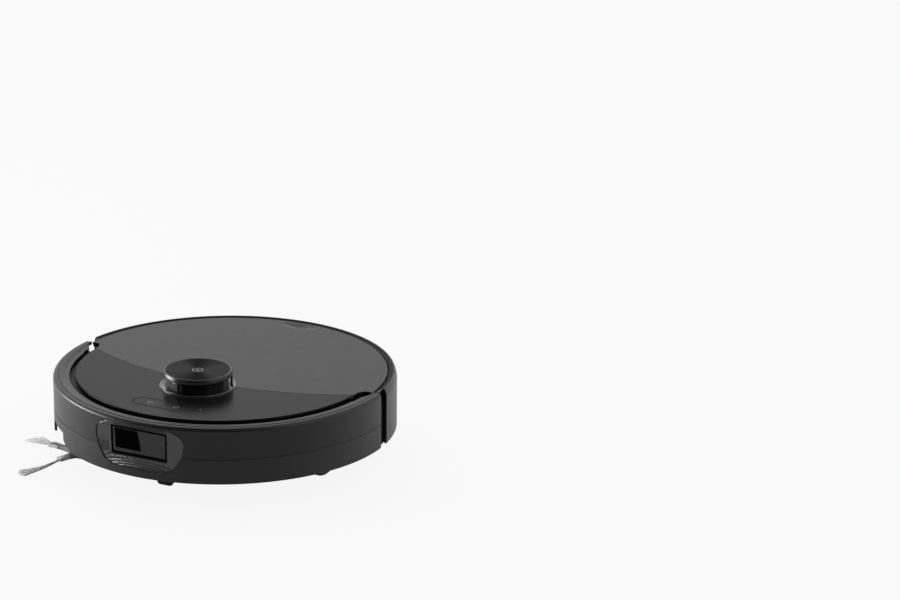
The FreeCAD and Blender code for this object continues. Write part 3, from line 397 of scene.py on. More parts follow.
def turned(mesh, degrees, x, y):
    """Mesh turned about an upright axis."""
    pivot = Vector((x, y, 0)) * MM
    mesh.transform(Matrix.Translation(pivot) @ Matrix.Rotation(math.radians(degrees), 4, "Z")
                   @ Matrix.Translation(-pivot))
    return mesh


def prism(name, outline, z0, z1):
    rings = [[(x, y, z) for x, y in outline] for z in (z0, z1)]
    return loft(name, rings)


def prism_y(name, outline, y0, y1):
    """Prism along Y over a closed (x, z) outline."""
    rings = [[(x, y, z) for x, z in outline] for y in (y0, y1)]
    return loft(name, rings)


def rod(name, a, b, r, steps, edge=0.0):
    """Round bar between two points, its ends chamfered."""
    a, b = Vector(a), Vector(b)
    along = (b - a).normalized()
    across = along.orthogonal().normalized()
    other = along.cross(across)
    stations = [(a, r)]
    if edge:
        stations = [(a, r - edge), (a + along * edge, r), (b - along * edge, r), (b, r - edge)]
    else:
        stations.append((b, r))
    rings = []
    for place, radius in stations:
        rings.append([tuple(place + (across * math.cos(t) + other * math.sin(t)) * radius)
                      for t in (math.tau * k / steps for k in range(steps))])
    return loft(name, rings)


def piece(name, mesh, body, slot, replaces=(), sharp=30.0):
    """Shows a mesh as a piece that rides on a body and takes its finish from a slot."""
    if not len(mesh.polygons):
        raise RuntimeError(f"{name} has no faces")
    mesh.name = name
    mesh.materials.clear()
    mesh.materials.append(finish(slot))
    mesh.shade_smooth()
    mesh.set_sharp_from_angle(angle=math.radians(sharp))
    thing = temporary(name, mesh)
    weight = thing.modifiers.new("even_shading", "WEIGHTED_NORMAL")
    weight.keep_sharp = True
    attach(thing, body)
    if replaces:
        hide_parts(*replaces)
    return thing


# ---------------------------------------------------------------- finishes
def socket(shader, name, value):
    shader.inputs[name].default_value = value


def shaded(name):
    """Empty node material; returns it with its node tree and shader."""
    material = bpy.data.materials.new(name)
    material.use_nodes = True
    tree = material.node_tree
    return material, tree, tree.nodes["Principled BSDF"]


def place_of(tree):
    return tree.nodes.new("ShaderNodeTexCoord").outputs["Object"]


def noise(tree, scale, detail=2.0, vector=None):
    texture = tree.nodes.new("ShaderNodeTexNoise")
    texture.inputs["Scale"].default_value = scale
    texture.inputs["Detail"].default_value = detail
    tree.links.new(vector or place_of(tree), texture.inputs["Vector"])
    return texture.outputs["Fac"]


def ranged(tree, value, low, high, start=0.3, end=0.7):
    spread = tree.nodes.new("ShaderNodeMapRange")
    for name, number in (("From Min", start), ("From Max", end), ("To Min", low), ("To Max", high)):
        spread.inputs[name].default_value = number
    tree.links.new(value, spread.inputs["Value"])
    return spread.outputs["Result"]


def blended(tree, factor, first, second):
    """Colour between two, by a factor."""
    mix = tree.nodes.new("ShaderNodeMix")
    mix.data_type = "RGBA"
    mix.inputs["A"].default_value = (*first, 1.0)
    mix.inputs["B"].default_value = (*second, 1.0)
    tree.links.new(factor, mix.inputs["Factor"])
    return mix.outputs["Result"]


def bumped(tree, shader, height, distance, strength=1.0, before=None):
    bump = tree.nodes.new("ShaderNodeBump")
    bump.inputs["Distance"].default_value = distance
    bump.inputs["Strength"].default_value = strength
    tree.links.new(height, bump.inputs["Height"])
    if before:
        tree.links.new(before, bump.inputs["Normal"])
    tree.links.new(bump.outputs["Normal"], shader.inputs["Normal"])
    return bump.outputs["Normal"]


def tinted(tree, shader, factor, first, second):
    """Base colour between two, by a factor."""
    tree.links.new(blended(tree, factor, first, second), shader.inputs["Base Color"])


def roughened(tree, shader, value, low, high):
    """Roughness that swings between two values."""
    tree.links.new(ranged(tree, value, low, high), shader.inputs["Roughness"])


def scaled(colour, factor):
    return tuple(min(1.0, c * factor) for c in colour)


def plastic(name, colour, roughness, grain=1600.0, depth=0.00001, mottle=0.06, specular=0.5):
    """Moulded plastic: fine grain, slightly uneven colour and gloss."""
    material, tree, shader = shaded(name)
    cloud = ranged(tree, noise(tree, 45.0, 3.0), 0.0, 1.0)
    tinted(tree, shader, cloud, scaled(colour, 1 - mottle), scaled(colour, 1 + mottle))
    roughened(tree, shader, noise(tree, 60.0, 2.0), roughness - 0.015, roughness + 0.015)
    bumped(tree, shader, noise(tree, grain, 1.0), depth)
    socket(shader, "Specular IOR Level", specular)
    return material


def speckled(name, colour, roughness):
    """Spark-eroded plastic with a coarse speckle."""
    material, tree, shader = shaded(name)
    cells = tree.nodes.new("ShaderNodeTexVoronoi")
    cells.inputs["Scale"].default_value = 1100.0
    tree.links.new(place_of(tree), cells.inputs["Vector"])
    speck = noise(tree, 900.0, 2.0)
    share = ranged(tree, speck, 0.0, 1.0, 0.42, 0.62)
    tinted(tree, shader, share, scaled(colour, 0.55), scaled(colour, 1.7))
    roughened(tree, shader, speck, roughness - 0.06, roughness + 0.06)
    first = bumped(tree, shader, cells.outputs["Distance"], 0.00006, 0.6)
    bumped(tree, shader, speck, 0.00005, 0.7, first)
    socket(shader, "Specular IOR Level", 0.5)
    return material


def metallic(name, colour, roughness):
    """Satin metallic paint, with a fine crossed grain over the lower face of the window's funnel."""
    material, tree, shader = shaded(name)
    tinted(tree, shader, noise(tree, 60.0, 2.0), scaled(colour, 0.9), scaled(colour, 1.1))
    roughened(tree, shader, noise(tree, 220.0), roughness - 0.03, roughness + 0.03)
    place = place_of(tree)
    split = tree.nodes.new("ShaderNodeSeparateXYZ")
    tree.links.new(place, split.inputs["Vector"])
    lower = ranged(tree, split.outputs["Z"], 1.0, 0.0, 0.045, 0.049)
    height = None
    for direction in ("X", "Y"):
        lines = tree.nodes.new("ShaderNodeTexWave")
        lines.bands_direction = direction
        lines.inputs["Scale"].default_value = 262.0
        tree.links.new(place, lines.inputs["Vector"])
        both = tree.nodes.new("ShaderNodeMath")
        both.operation = "MULTIPLY"
        tree.links.new(lines.outputs["Fac"], both.inputs[0])
        tree.links.new(height or lower, both.inputs[1])
        height = both.outputs["Value"]
    bumped(tree, shader, height, 0.00012, 1.0)
    socket(shader, "Metallic", 0.5)
    return material


def turned_metal(name, colour, roughness):
    """Face turned on a lathe: rings about the turret's axis, brightest along two opposite fans."""
    material, tree, shader = shaded(name)
    shift = tree.nodes.new("ShaderNodeVectorMath")
    shift.operation = "SUBTRACT"
    shift.inputs[1].default_value = (TURRET[0] * MM, TURRET[1] * MM, 0.0)
    tree.links.new(place_of(tree), shift.inputs[0])
    rings = tree.nodes.new("ShaderNodeTexWave")
    rings.wave_type = "RINGS"
    rings.rings_direction = "Z"
    rings.inputs["Scale"].default_value = 420.0
    rings.inputs["Distortion"].default_value = 0.6
    tree.links.new(shift.outputs["Vector"], rings.inputs["Vector"])
    band = ranged(tree, rings.outputs["Fac"], 0.0, 1.0, 0.0, 1.0)
    tinted(tree, shader, band, scaled(colour, 0.75), scaled(colour, 1.25))
    roughened(tree, shader, noise(tree, 300.0), roughness - 0.03, roughness + 0.05)
    bumped(tree, shader, rings.outputs["Fac"], 0.00001, 0.5)
    tangent = tree.nodes.new("ShaderNodeTangent")
    tangent.direction_type = "RADIAL"
    tangent.axis = "Z"
    tree.links.new(tangent.outputs["Tangent"], shader.inputs["Tangent"])
    socket(shader, "Metallic", 0.9)
    socket(shader, "Specular Tint", (0.12, 0.12, 0.12, 1.0))
    socket(shader, "Specular IOR Level", 0.1)
    socket(shader, "Anisotropic", 0.9)
    return material


def glossy(name, colour, roughness, specular, coat=0.0):
    """Polished dark plastic or glass with a trace of dust."""
    material, tree, shader = shaded(name)
    dust = ranged(tree, noise(tree, 700.0, 4.0), 0.0, 1.0, 0.55, 0.8)
    tinted(tree, shader, dust, colour, scaled(colour, 1.6))
    roughened(tree, shader, noise(tree, 60.0), roughness, roughness + 0.03)
    bumped(tree, shader, noise(tree, 25.0), 0.00002, 0.2)
    socket(shader, "Specular IOR Level", specular)
    socket(shader, "Coat Weight", coat)
    socket(shader, "Coat Roughness", 0.04)
    return material


def rubber(name, colour, roughness=0.75):
    """Matt rubber with a dusty bloom."""
    material, tree, shader = shaded(name)
    bloom = noise(tree, 90.0, 5.0)
    tinted(tree, shader, ranged(tree, bloom, 0.0, 1.0, 0.35, 0.75), colour, scaled(colour, 1.9))
    roughened(tree, shader, bloom, roughness - 0.08, roughness + 0.08)
    bumped(tree, shader, noise(tree, 1200.0, 3.0), 0.00003, 0.6)
    socket(shader, "Specular IOR Level", 0.3)
    return material


def steel(name, colour, roughness):
    """Plain steel with faint drawing marks."""
    material, tree, shader = shaded(name)
    stretch = tree.nodes.new("ShaderNodeMapping")
    stretch.inputs["Scale"].default_value = (60.0, 900.0, 900.0)
    tree.links.new(place_of(tree), stretch.inputs["Vector"])
    marks = noise(tree, 1.0, 3.0, stretch.outputs["Vector"])
    tinted(tree, shader, ranged(tree, marks, 0.0, 1.0), scaled(colour, 0.8), scaled(colour, 1.1))
    roughened(tree, shader, marks, roughness - 0.06, roughness + 0.1)
    bumped(tree, shader, marks, 0.00001, 0.4)
    socket(shader, "Metallic", 1.0)
    return material


def nylon(name, colour):
    """Translucent nylon strands, slightly uneven in their colour."""
    material, tree, shader = shaded(name)
    strand = noise(tree, 1500.0, 1.0)
    tinted(tree, shader, ranged(tree, strand, 0.0, 1.0), scaled(colour, 0.88), scaled(colour, 1.12))
    roughened(tree, shader, strand, 0.35, 0.5)
    socket(shader, "Subsurface Weight", 0.6)
    socket(shader, "Subsurface Radius", (1.0, 1.0, 1.0))
    socket(shader, "Subsurface Scale", 0.002)
    return material


def pile(name, colour):
    """Looped microfibre: small tufts in rows, with a soft sheen and painted shade between the loops."""
    material, tree, shader = shaded(name)
    loops = tree.nodes.new("ShaderNodeTexVoronoi")
    loops.inputs["Scale"].default_value = 650.0
    tree.links.new(place_of(tree), loops.inputs["Vector"])
    height = loops.outputs["Distance"]
    # Painted shade: the colour follows the field that shapes the loops, lighter at each loop's middle and darker
    # towards its border, standing in for shade between the loops.
    loop_shade = ranged(tree, height, 0.0, 1.0, 0.0, 0.7)
    tinted(tree, shader, loop_shade, scaled(colour, 1.25), scaled(colour, 0.5))
    roughened(tree, shader, noise(tree, 400.0), 0.8, 0.98)
    first = bumped(tree, shader, height, 0.0006, 0.9)
    bumped(tree, shader, noise(tree, 3000.0, 3.0), 0.0002, 0.5, first)
    socket(shader, "Sheen Weight", 0.5)
    socket(shader, "Sheen Roughness", 0.5)
    socket(shader, "Specular IOR Level", 0.15)
    return material


def smoked(name, colour, roughness, transmission):
    """Tinted clear plastic."""
    material, tree, shader = shaded(name)
    tinted(tree, shader, noise(tree, 30.0), scaled(colour, 0.9), scaled(colour, 1.1))
    roughened(tree, shader, noise(tree, 120.0), roughness, roughness + 0.06)
    socket(shader, "Transmission Weight", transmission)
    return material


def make_finishes():
    """One material for each slot of the record."""
    colours = bpy.context.scene.robot_colours
    shell, cover, front = tuple(colours.shell), tuple(colours.cover), tuple(colours.plate)
    funnel = tuple(colours.metallic)
    made = {
        "satin_shell": plastic("satin_shell", shell, 0.37, specular=0.44),
        "textured_shell": speckled("textured_shell", shell, 0.42),
        "dark_metallic": metallic("dark_metallic", funnel, 0.30),
        "black_glass": glossy("black_glass", (0.014, 0.014, 0.0144), 0.02, 0.5),
        "satin_plate": plastic("satin_plate", front, 0.24, 1600.0, 0.000002, 0.04, 0.075),
        "satin_cover": plastic("satin_cover", cover, 0.28, 1600.0, 0.0000002, 0.04, 0.18),
        "underside_plastic": plastic("underside_plastic", (0.022, 0.022, 0.023), 0.55, 900.0, 0.00004, 0.12),
        "inner_plastic": plastic("inner_plastic", (0.003, 0.003, 0.0031), 0.5, 900.0, 0.00003, 0.1, 0.12),
        "steel": steel("steel", (0.55, 0.55, 0.54), 0.3),
        "sensor_lens": glossy("sensor_lens", (0.010, 0.010, 0.0105), 0.15, 0.4),
        "battery_wrap": plastic("battery_wrap", (0.015, 0.03, 0.09), 0.35, 400.0, 0.00005, 0.15),
        "board": plastic("board", (0.01, 0.10, 0.04), 0.35, 500.0, 0.00003, 0.25),
        "rubber": rubber("rubber", (0.018, 0.018, 0.018)),
        "fan_plastic": plastic("fan_plastic", (0.45, 0.45, 0.44), 0.45),
        "tank_plastic": smoked("tank_plastic", (0.55, 0.60, 0.64), 0.25, 0.5),
        "bin_plastic": smoked("bin_plastic", (0.16, 0.17, 0.19), 0.08, 0.85),
        "bin_lid": plastic("bin_lid", (0.03, 0.03, 0.031), 0.42),
        "bin_handle": plastic("bin_handle", (0.11, 0.11, 0.112), 0.38),
        "filter_paper": rubber("filter_paper", (0.62, 0.63, 0.62), 0.9),
        "ring_gloss": glossy("ring_gloss", (0.014, 0.014, 0.015), 0.12, 0.5, 0.4),
        "spun_cap": turned_metal("spun_cap", (0.085, 0.085, 0.086), 0.34),
        "rotor_plastic": plastic("rotor_plastic", (0.045, 0.045, 0.046), 0.3),
        "key_plastic": plastic("key_plastic", front, 0.26, 1600.0, 0.000002, 0.04, 0.075),
        "caster_plastic": plastic("caster_plastic", (0.004, 0.004, 0.004), 0.5, specular=0.12),
        "brush_rubber": rubber("brush_rubber", (0.16, 0.16, 0.165), 0.5),
        "bristle": nylon("bristle", tuple(colours.bristle)),
        "hub_plastic": plastic("hub_plastic", (0.035, 0.035, 0.037), 0.4),
        "tyre_rubber": rubber("tyre_rubber", (0.012, 0.012, 0.012), 0.8),
        "roller_rubber": rubber("roller_rubber", (0.025, 0.026, 0.03), 0.55),
        "plate_plastic": plastic("plate_plastic", (0.03, 0.03, 0.032), 0.45),
        "mop_fabric": pile("mop_fabric", tuple(colours.pad)),
        "cap_satin": plastic("cap_satin", (0.012, 0.012, 0.0124), 0.3),
        # Near black and almost unreflecting: on the sensor glass it paints a dark reflection, and on the glass's
        # seat the shade of the gap round the pane.
        "camera_black": plastic("camera_black", (0.0006, 0.0006, 0.0006), 0.3, specular=0.01),
        "pale_print": plastic("pale_print", (0.34, 0.34, 0.345), 0.5),
        "clear_sleeve": smoked("clear_sleeve", (0.85, 0.86, 0.86), 0.3, 0.2),
    }
    missing = {p["material_slot"] for p in frame["record"]["subparts"]} - set(made)
    if missing:
        raise RuntimeError(f"no finish is written for {sorted(missing)}")
    return made


FINISHES = {}


def finish(slot):
    """The material of a slot; all are made when the first piece asks for one."""
    if not FINISHES:
        for old in list(bpy.data.materials):
            bpy.data.materials.remove(old)
        FINISHES.update(make_finishes())
    return FINISHES[slot]


# ---------------------------------------------------------------- outer shells
def bumper_profile():
    """Section of the upper bumper: wall, rounded shoulder, groove, raised rim and gutter."""
    inner = BODY_R - SKIN
    return ([(inner, SEAM_Z), (BODY_R - 0.3, SEAM_Z), (BODY_R, SEAM_Z + 0.3)]
            + arc_through((BODY_R, BUMPER_SHOULDER_Z), (BODY_R - 0.9, 84.1), (BODY_R - 3.2, 85.4), 14)
            + [(BODY_R - 5.3, 85.2), (BODY_R - 5.6, 84.8), (BODY_R - 6.0, 85.4),
               (BODY_R - 6.5, CREST_Z - 0.1)]
            + arc_through((BODY_R - 7.8, CREST_Z), (BODY_R - 11.8, 84.4), (BODY_R - 16.0, 83.9), 10)
            + [(BODY_R - 16.4, 83.6), (BODY_R - 16.4, 81.6)]
            + arc_through((BODY_R - 8.8, 82.2), (BODY_R - 4.1, 80.9), (inner, BUMPER_SHOULDER_Z - 3.4), 8))


def lower_edge(inner):
    """Rounded lower edge shared by skirt and rear shell."""
    return [(inner, SHELL_BOTTOM)] + arc_through(
        (BODY_R - 1.2, SHELL_BOTTOM), (BODY_R - 0.35, SHELL_BOTTOM + 0.35), (BODY_R, SHELL_BOTTOM + 1.2), 6)


def skirt_profile():
    inner = BODY_R - SKIN
    step = 0.5
    return lower_edge(inner) + [(BODY_R, SEAM_Z - 0.9), (BODY_R - 0.2, SEAM_Z - 0.7),
                                (BODY_R - step, SEAM_Z - 0.7), (BODY_R - step, SEAM_Z), (inner, SEAM_Z)]


def window_outline():
    return rounded(WINDOW_OUTLINE, 9.0, 4)


def window_cutter():
    return prism_y("window", window_outline(), -190, -120)


def lip_relief(side):
    """Space beside the rear cover's wing, which the end of the bumper's lip clears."""
    outline = [(150, -20), (158.9, -20), (160.2, -6), (166.8, 4.2), (166.8, 30), (150, 30)]
    return prism("relief", [(side * x, y) for x, y in outline], 81.0, 88.0)


def build_bumper(columns):
    sweep = 2 * BUMPER_END
    steps = round(columns * sweep / 360)
    shell = lathe("shell", bumper_profile(), -BUMPER_END, sweep, steps, end_round=0.5)
    shell = carved(shell, [window_cutter(), lip_relief(1), lip_relief(-1)])
    piece("bumper_upper", shell, "bumper", "satin_shell", ["bumper_shell"])
    gap = [(0, 0)] + [around(200, BRUSH_GAP - 2.26 * k) for k in range(8)]
    x, y = around(160, BRUSH_GAP)
    along, outward = Vector(around(1, BRUSH_GAP + 90)), Vector(around(30, BRUSH_GAP))
    corner = []
    for reach in (0, 1):
        corner.append([(*(Vector((x, y)) + along * t + outward * reach), z)
                       for t, z in ((-1.0, 34.2), (17.0, SHELL_BOTTOM), (17.0, 24.0), (-1.0, 24.0))])
    skirt = lathe("skirt", skirt_profile(), -BUMPER_END, sweep, steps, end_round=0.5)
    skirt = carved(skirt, [window_cutter(), prism("gap", gap, 20, 42), loft("corner", corner)])
    piece("bumper_lower", skirt, "bumper", "textured_shell", ["bumper_skirt"])


def resampled(outline, counts):
    """Points along each edge of a closed outline; counts holds a number for each edge."""
    points = []
    for k, (start, count) in enumerate(zip(outline, counts)):
        end = outline[(k + 1) % len(outline)]
        for s in range(count):
            t = s / count
            points.append((start[0] * (1 - t) + end[0] * t, start[1] * (1 - t) + end[1] * t))
    return points


def softened(points, rounds):
    """Closed run of points, each moved between its neighbours, which rounds the corners."""
    for _ in range(rounds):
        after = points[1:] + points[:1]
        points = [tuple((points[k - 1][i] + 2 * points[k][i] + after[k][i]) / 4 for i in (0, 1))
                  for k in range(len(points))]
    return points


def skin_y(x, proud):
    """Place of the bumper's skin at a distance from the middle, so far out of it."""
    return -math.sqrt((BODY_R - 0.3 + proud) ** 2 - x * x)


def build_funnel():
    """Funnel with mitred faces round the sensor glass, ribbed at its lower left."""
    corners = [(x * 0.985, WINDOW_MID_Z + (z - WINDOW_MID_Z) * 0.975) for x, z in WINDOW_OUTLINE]
    counts = [round(math.dist(p, corners[(k + 1) % len(corners)]) / 0.34) for k, p in enumerate(corners)]
    rim = softened(resampled(corners, counts), 14)
    foot = softened(resampled(WINDOW_FLOOR, counts), 2)
    outer = inset(window_outline(), 0.12)
    outer = [min(outer, key=lambda p, q=q: math.dist(p, q)) for q in rim]
    outer = softened(outer, 12)
    rings = [[(x, FUNNEL_BACK, z) for x, z in outer], [(x, skin_y(x, -0.6), z) for x, z in outer],
             [(x, skin_y(x, -0.15), z) for x, z in inset(outer, 0.15)],
             [(x, skin_y(x, 0.0), z) for x, z in inset(outer, 0.6)]]
    along = 0.0
    ribs = []
    for k, (x, z) in enumerate(rim):
        along += math.dist(rim[k - 1], (x, z))
        level = min(1.0, max(0.0, (59 - z) / 4)) if x < -37 else 0.0
        ribs.append(0.28 * level * (1 + math.cos(along * math.tau / 2.1)))
    layers = 24
    for k in range(layers + 1):
        t = k / layers
        edge = min(1.0, t * 10, (1 - t) * 10)
        ring = []
        for (x0, z0), (x1, z1), rib in zip(rim, foot, ribs):
            y = skin_y(x0, -0.35) * (1 - t) + (GLASS_Y - 0.4) * t
            ring.append((x0 * (1 - t) + x1 * t, y + rib * edge, z0 * (1 - t) + z1 * t))
        rings.append(ring)
    rings.append([(x, GLASS_Y + 3.0, z) for x, z in foot])
    rings.append([(x, FUNNEL_BACK, z) for x, z in foot])
    funnel = loft("funnel", rings, closed=True)
    piece("window_funnel", funnel, "bumper", "dark_metallic", ["window_bezel"], 12)


def build_glass():
    """Black pane with rolled edges, the darker sheet behind it and the seat round it. The sheet is a painted
    reflection: unreflecting, over the pane's left part, with its slanted edge where a dark reflection on the
    glass ends. The seat is a real part, but its equally black, unreflecting finish paints the shade in the gap
    round the pane.
    """
    pane = rounded(rectangle(-30.0, 48.3, 30.0, 73.8), 2.2, 6)
    rings = [[(x, GLASS_Y + 1.2, z) for x, z in pane], [(x, GLASS_Y + 0.9, z) for x, z in pane],
             [(x, GLASS_Y + 0.25, z) for x, z in inset(pane, 0.25)],
             [(x, GLASS_Y, z) for x, z in inset(pane, 0.9)]]
    piece("glass_pane", loft("pane", rings), "bumper", "black_glass", ["window_glass"], 12)
    # Painted reflection: a near-black, unreflecting sheet over the pane's left part, its slanted edge drawn where
    # a dark reflection on the glass ends.
    reflection_sheet = [(-28.0, 72.6), (-1.6, 72.5), (2.4, 52.0), (-27.2, 52.2)]
    reflection_sheet = prism_y("reflection_sheet", reflection_sheet, GLASS_Y - 0.03, GLASS_Y + 0.2)
    piece("painted_reflection_sheet", reflection_sheet, "bumper", "camera_black")
    # Painted shade: the seat is a real part, but its near-black, unreflecting finish makes the gap round the pane
    # read as shadow.
    seat = rounded(rectangle(-32.1, 45.8, 32.1, 75.2), 0.6, 2)
    seat = prism_y("seat", seat, GLASS_Y + 1.0, GLASS_Y + 3.0)
    piece("glass_seat_gap_shade", seat, "bumper", "camera_black")


def rear_profile():
    inner = BODY_R - SKIN
    top = CREST_Z - 0.3
    return (lower_edge(inner)
            + arc_through((BODY_R, SHOULDER_Z), (BODY_R - 0.6, 81.4), (BODY_R - 2.2, top - 0.1), 12)
            + [(BODY_R - 2.5, top), (BODY_R - 3.3, top), (BODY_R - 3.6, top - 0.15), (BODY_R - 5.0, 84.3),
               (BODY_R - 5.3, LEDGE_TOP), (BODY_R - 8.0, LEDGE_TOP), (BODY_R - 8.1, LEDGE_TOP - 0.1),
               (BODY_R - 8.1, DECK_Z), (BODY_R - 5.2, DECK_Z), (inner, DECK_Z - 3.0)])


def build_rear_shell(columns):
    sweep = 360 - 2 * SHELL_START
    shell = lathe("shell", rear_profile(), SHELL_START, sweep, round(columns * sweep / 360), end_round=0.5)
    contact_low, contact_high = span("charging_contacts")
    half = (contact_high.z - contact_low.z) / 2 + 0.2
    middle = (contact_high.z + contact_low.z) / 2
    cutters = []
    for side in (-1, 1):
        x = side * (contact_high.x - 9.0)
        port = rounded(rectangle(x - 9.2, middle - half, x + 9.2, middle + half), 2.2, 5)
        cutters.append(prism_y("port", port, 160, 190))
    for x in range(-48, 49, 8):
        cutters.append(prism_y("vent", circle((x, 64), 1.6, 24), 160, 190))
    inlet_low, inlet_high = span("water_inlet")
    ring = circle((0, (inlet_low.z + inlet_high.z) / 2), 7.2, 40)
    cutters.append(prism_y("inlet", ring, 160, 190))
    piece("rear_shell_skin", carved(shell, cutters), "chassis", "satin_shell", ["rear_shell"])
    build_shell_ends(sweep)


def build_shell_ends(sweep):
    """What closes the rear shell's two ends, beside the slots to the bumper, and a near-black skin over the
    ledge all round, which paints the shade between the cover's edge and the rim.
    """
    inner, ledge = BODY_R - 5.1, BODY_R - 8.0
    tongue = [(ledge, DECK_Z), (BODY_R - 5.3, DECK_Z), (BODY_R - 5.3, LEDGE_TOP - 0.1),
              (BODY_R - 5.4, LEDGE_TOP), (ledge, LEDGE_TOP), (BODY_R - 8.1, LEDGE_TOP - 0.1),
              (BODY_R - 8.1, DECK_Z + 0.1)]
    tongue = lathe("tongue", tongue, LEDGE_START, SHELL_START - LEDGE_START + 0.4, 6)
    piece("rear_shell_tongue", tongue, "chassis", "satin_shell")
    post = [(inner, SHELL_BOTTOM + 4), (BODY_R - 1.0, SHELL_BOTTOM + 0.6), (BODY_R - 1.0, 79.0),
            (inner, 79.0)]
    liner = rectangle(inner, SHELL_BOTTOM + 0.6, BODY_R - 3.6, 71.0)
    # Painted shade: a thin near-black skin over the ledge and the rim's inner slope, darkening the band between
    # the cover's edge and the rim.
    ledge_shade_strip = [(ledge, LEDGE_TOP - 0.1), (BODY_R - 5.2, LEDGE_TOP - 0.1), (BODY_R - 3.6, 85.3),
             (BODY_R - 3.8, 85.4), (BODY_R - 5.4, LEDGE_TOP + 0.15), (ledge, LEDGE_TOP + 0.15)]
    ends = [lathe("ledge_shade_strip", ledge_shade_strip, SHELL_START + 0.3, sweep - 0.6, 260),
            lathe("post", post, SHELL_START - 0.1, 0.9, 2),
            lathe("post", post, -SHELL_START - 0.8, 0.9, 2),
            lathe("liner", liner, LEDGE_START, 3.8, 6),
            lathe("liner", liner, -LEDGE_START - 3.8, 3.8, 6)]
    piece("rear_shell_ends_and_ledge_shade", joined("ends", ends), "chassis", "inner_plastic")


# ---------------------------------------------------------------- top plates
def rolled_rim(r, edge):
    """Section of a rolled upper rim and the flat top within it."""
    rim = arc_through((r, PLATE_TOP - edge), (r - edge * 0.29, PLATE_TOP - edge * 0.29),
                      (r - edge, PLATE_TOP), 6)
    return rim + [(0, PLATE_TOP)]


def seam_points(offset):
    """Points along the seam's right half from the turret's hole to the plate's rim, and both ends."""
    r = SEAM_ARC_R + offset
    outer = crossing(0.0, PLATE_R, SEAM_ARC_Y, r)
    inner = crossing(TURRET[1], TURRET_HOLE_R, SEAM_ARC_Y, r)
    start, end = (angle_from_front(p, (0, SEAM_ARC_Y)) for p in (inner, outer))
    return arc_round((0, SEAM_ARC_Y), r, start, end, 30), inner, outer


def build_front_plate(edge):
    right, inner, outer = seam_points(SEAM_GAP)
    left = [(-x, y) for x, y in right]
    reach = 158.0
    wide = angle_from_front(outer)
    turret_turn = angle_from_front(inner, TURRET)
    outline = (arc_round((0, 0), reach, -wide, wide, 120) + right[::-1]
               + arc_round(TURRET, TURRET_HOLE_R, turret_turn, -turret_turn, 60)[1:-1] + left)
    blank = plate("front", [outline, pill(1.0)], DECK_Z - 1, PLATE_TOP, 0.3, 3)
    section = [(0, PLATE_UNDER), (PLATE_R - 2.3, PLATE_UNDER), (PLATE_R - 2.3, DECK_Z), (PLATE_R, DECK_Z)]
    disc = lathe("disc", section + rolled_rim(PLATE_R, edge))
    mesh = carved(blank, [disc], "INTERSECT")
    piece("front_top_plate", mesh, "chassis", "satin_plate", ["front_plate"], 10)


def cover_outline():
    """Outline of the rear cover: seam, narrow flanks, wings and the round back.

    The arc at the turret runs round its front, so the outline also spans the turret's hole.
    """
    right, inner, outer = seam_points(-SEAM_GAP)
    left = [(-x, y) for x, y in right]
    turret_turn = angle_from_front(inner, TURRET)
    flank = arc_round((0, 0), PLATE_R, angle_from_front(outer), 90.4, 8)
    wing = rounded([(150.0, -3.0), (157.0, 8.0), (165.6, 8.5), (175.0, 20.0)], 2.5, 5)[6:17]
    wing_turn = angle_from_front(wing[-1])
    back = arc_round((0, 0), COVER_R + 4.0, wing_turn, 360 - wing_turn, 180)
    bite = arc_round(TURRET, TURRET_HOLE_R, -turret_turn, turret_turn, 20)
    return (right[:-1] + flank + wing + back + [(-x, y) for x, y in wing[::-1]]
            + [(-x, y) for x, y in flank[::-1]] + left[::-1][1:] + bite[1:-1])


def build_rear_cover(edge):
    blank = plate("cover", [cover_outline()], PLATE_UNDER - 2, PLATE_TOP, 0.3, 3)
    disc = lathe("disc", [(0, PLATE_UNDER), (COVER_R, PLATE_UNDER)] + rolled_rim(COVER_R, edge))
    mesh = carved(blank, [disc], "INTERSECT")
    dip_r = 24
    dip = [(k, PLATE_TOP + 0.04 - 0.82 * (1 + math.cos(math.pi * k / dip_r))) for k in range(dip_r + 1)]
    scoop = lathe("scoop", dip + [(dip_r, PLATE_TOP + 3), (0, PLATE_TOP + 3)], steps=160)
    scoop.transform(Matrix.Translation((0, 155.5 * MM, 0)) @ Matrix.Diagonal((1.0, 0.4, 1.0, 1.0)))
    pad = arc_round((0, 0), 164.0, 170.6, 189.4, 24) + [(-26, 143), (26, 143)]
    pad = prism("pad", pad, 80.6, PLATE_UNDER + 0.2)
    mesh = carved(carved(mesh, [pad], "UNION"), [scoop])
    piece("rear_cover_skin", mesh, "cover", "satin_cover", ["rear_cover"], 10)
    build_cover_underside()


def build_cover_underside():
    """Ribs, pegs and end skirts below the cover, seen when it is lifted."""
    parts = []
    for side, start, end in ((-1, 118, 168), (1, 192, 242)):
        ring = arc_round((0, 0), 150.0, start, end, 40) + arc_round((0, 0), 147.6, end, start, 40)
        parts.append(prism("rib", ring, 81.3, PLATE_UNDER))
        parts.append(rod("peg", (side * 118, 30, PLATE_UNDER), (side * 118, 30, 81.0), 4.0, 32, 0.5))
        parts.append(block("rib", (side * 95 - 1, 66, 82.0), (side * 95 + 1, 112, PLATE_UNDER), 0.3))
    for y in (76, 96, 116):
        parts.append(block("rib", (-80, y - 0.8, 82.2), (80, y + 0.8, PLATE_UNDER), 0.3))
    skirt = [(152.6, 1.6), (157.0, 8.5), (164.9, 9.0), (164.7, 10.6), (156.2, 10.1), (151.4, 2.6)]
    for side in (-1, 1):
        parts.append(prism("skirt", [(side * x, y) for x, y in skirt], 80.5, PLATE_UNDER))
    piece("cover_ribs", joined("ribs", parts), "cover", "satin_cover")


# ---------------------------------------------------------------- turret
def beside_post(name, heading, grow, z0, z1, edge):
    """Block over a cap post's place."""
    px, py = around(POST_R, heading, TURRET)
    half = (1.1 + grow, 1.0 + grow)
    made = block(name, (px - half[0], py - half[1], z0), (px + half[0], py + half[1], z1), edge, 3)
    return turned(made, heading, px, py)


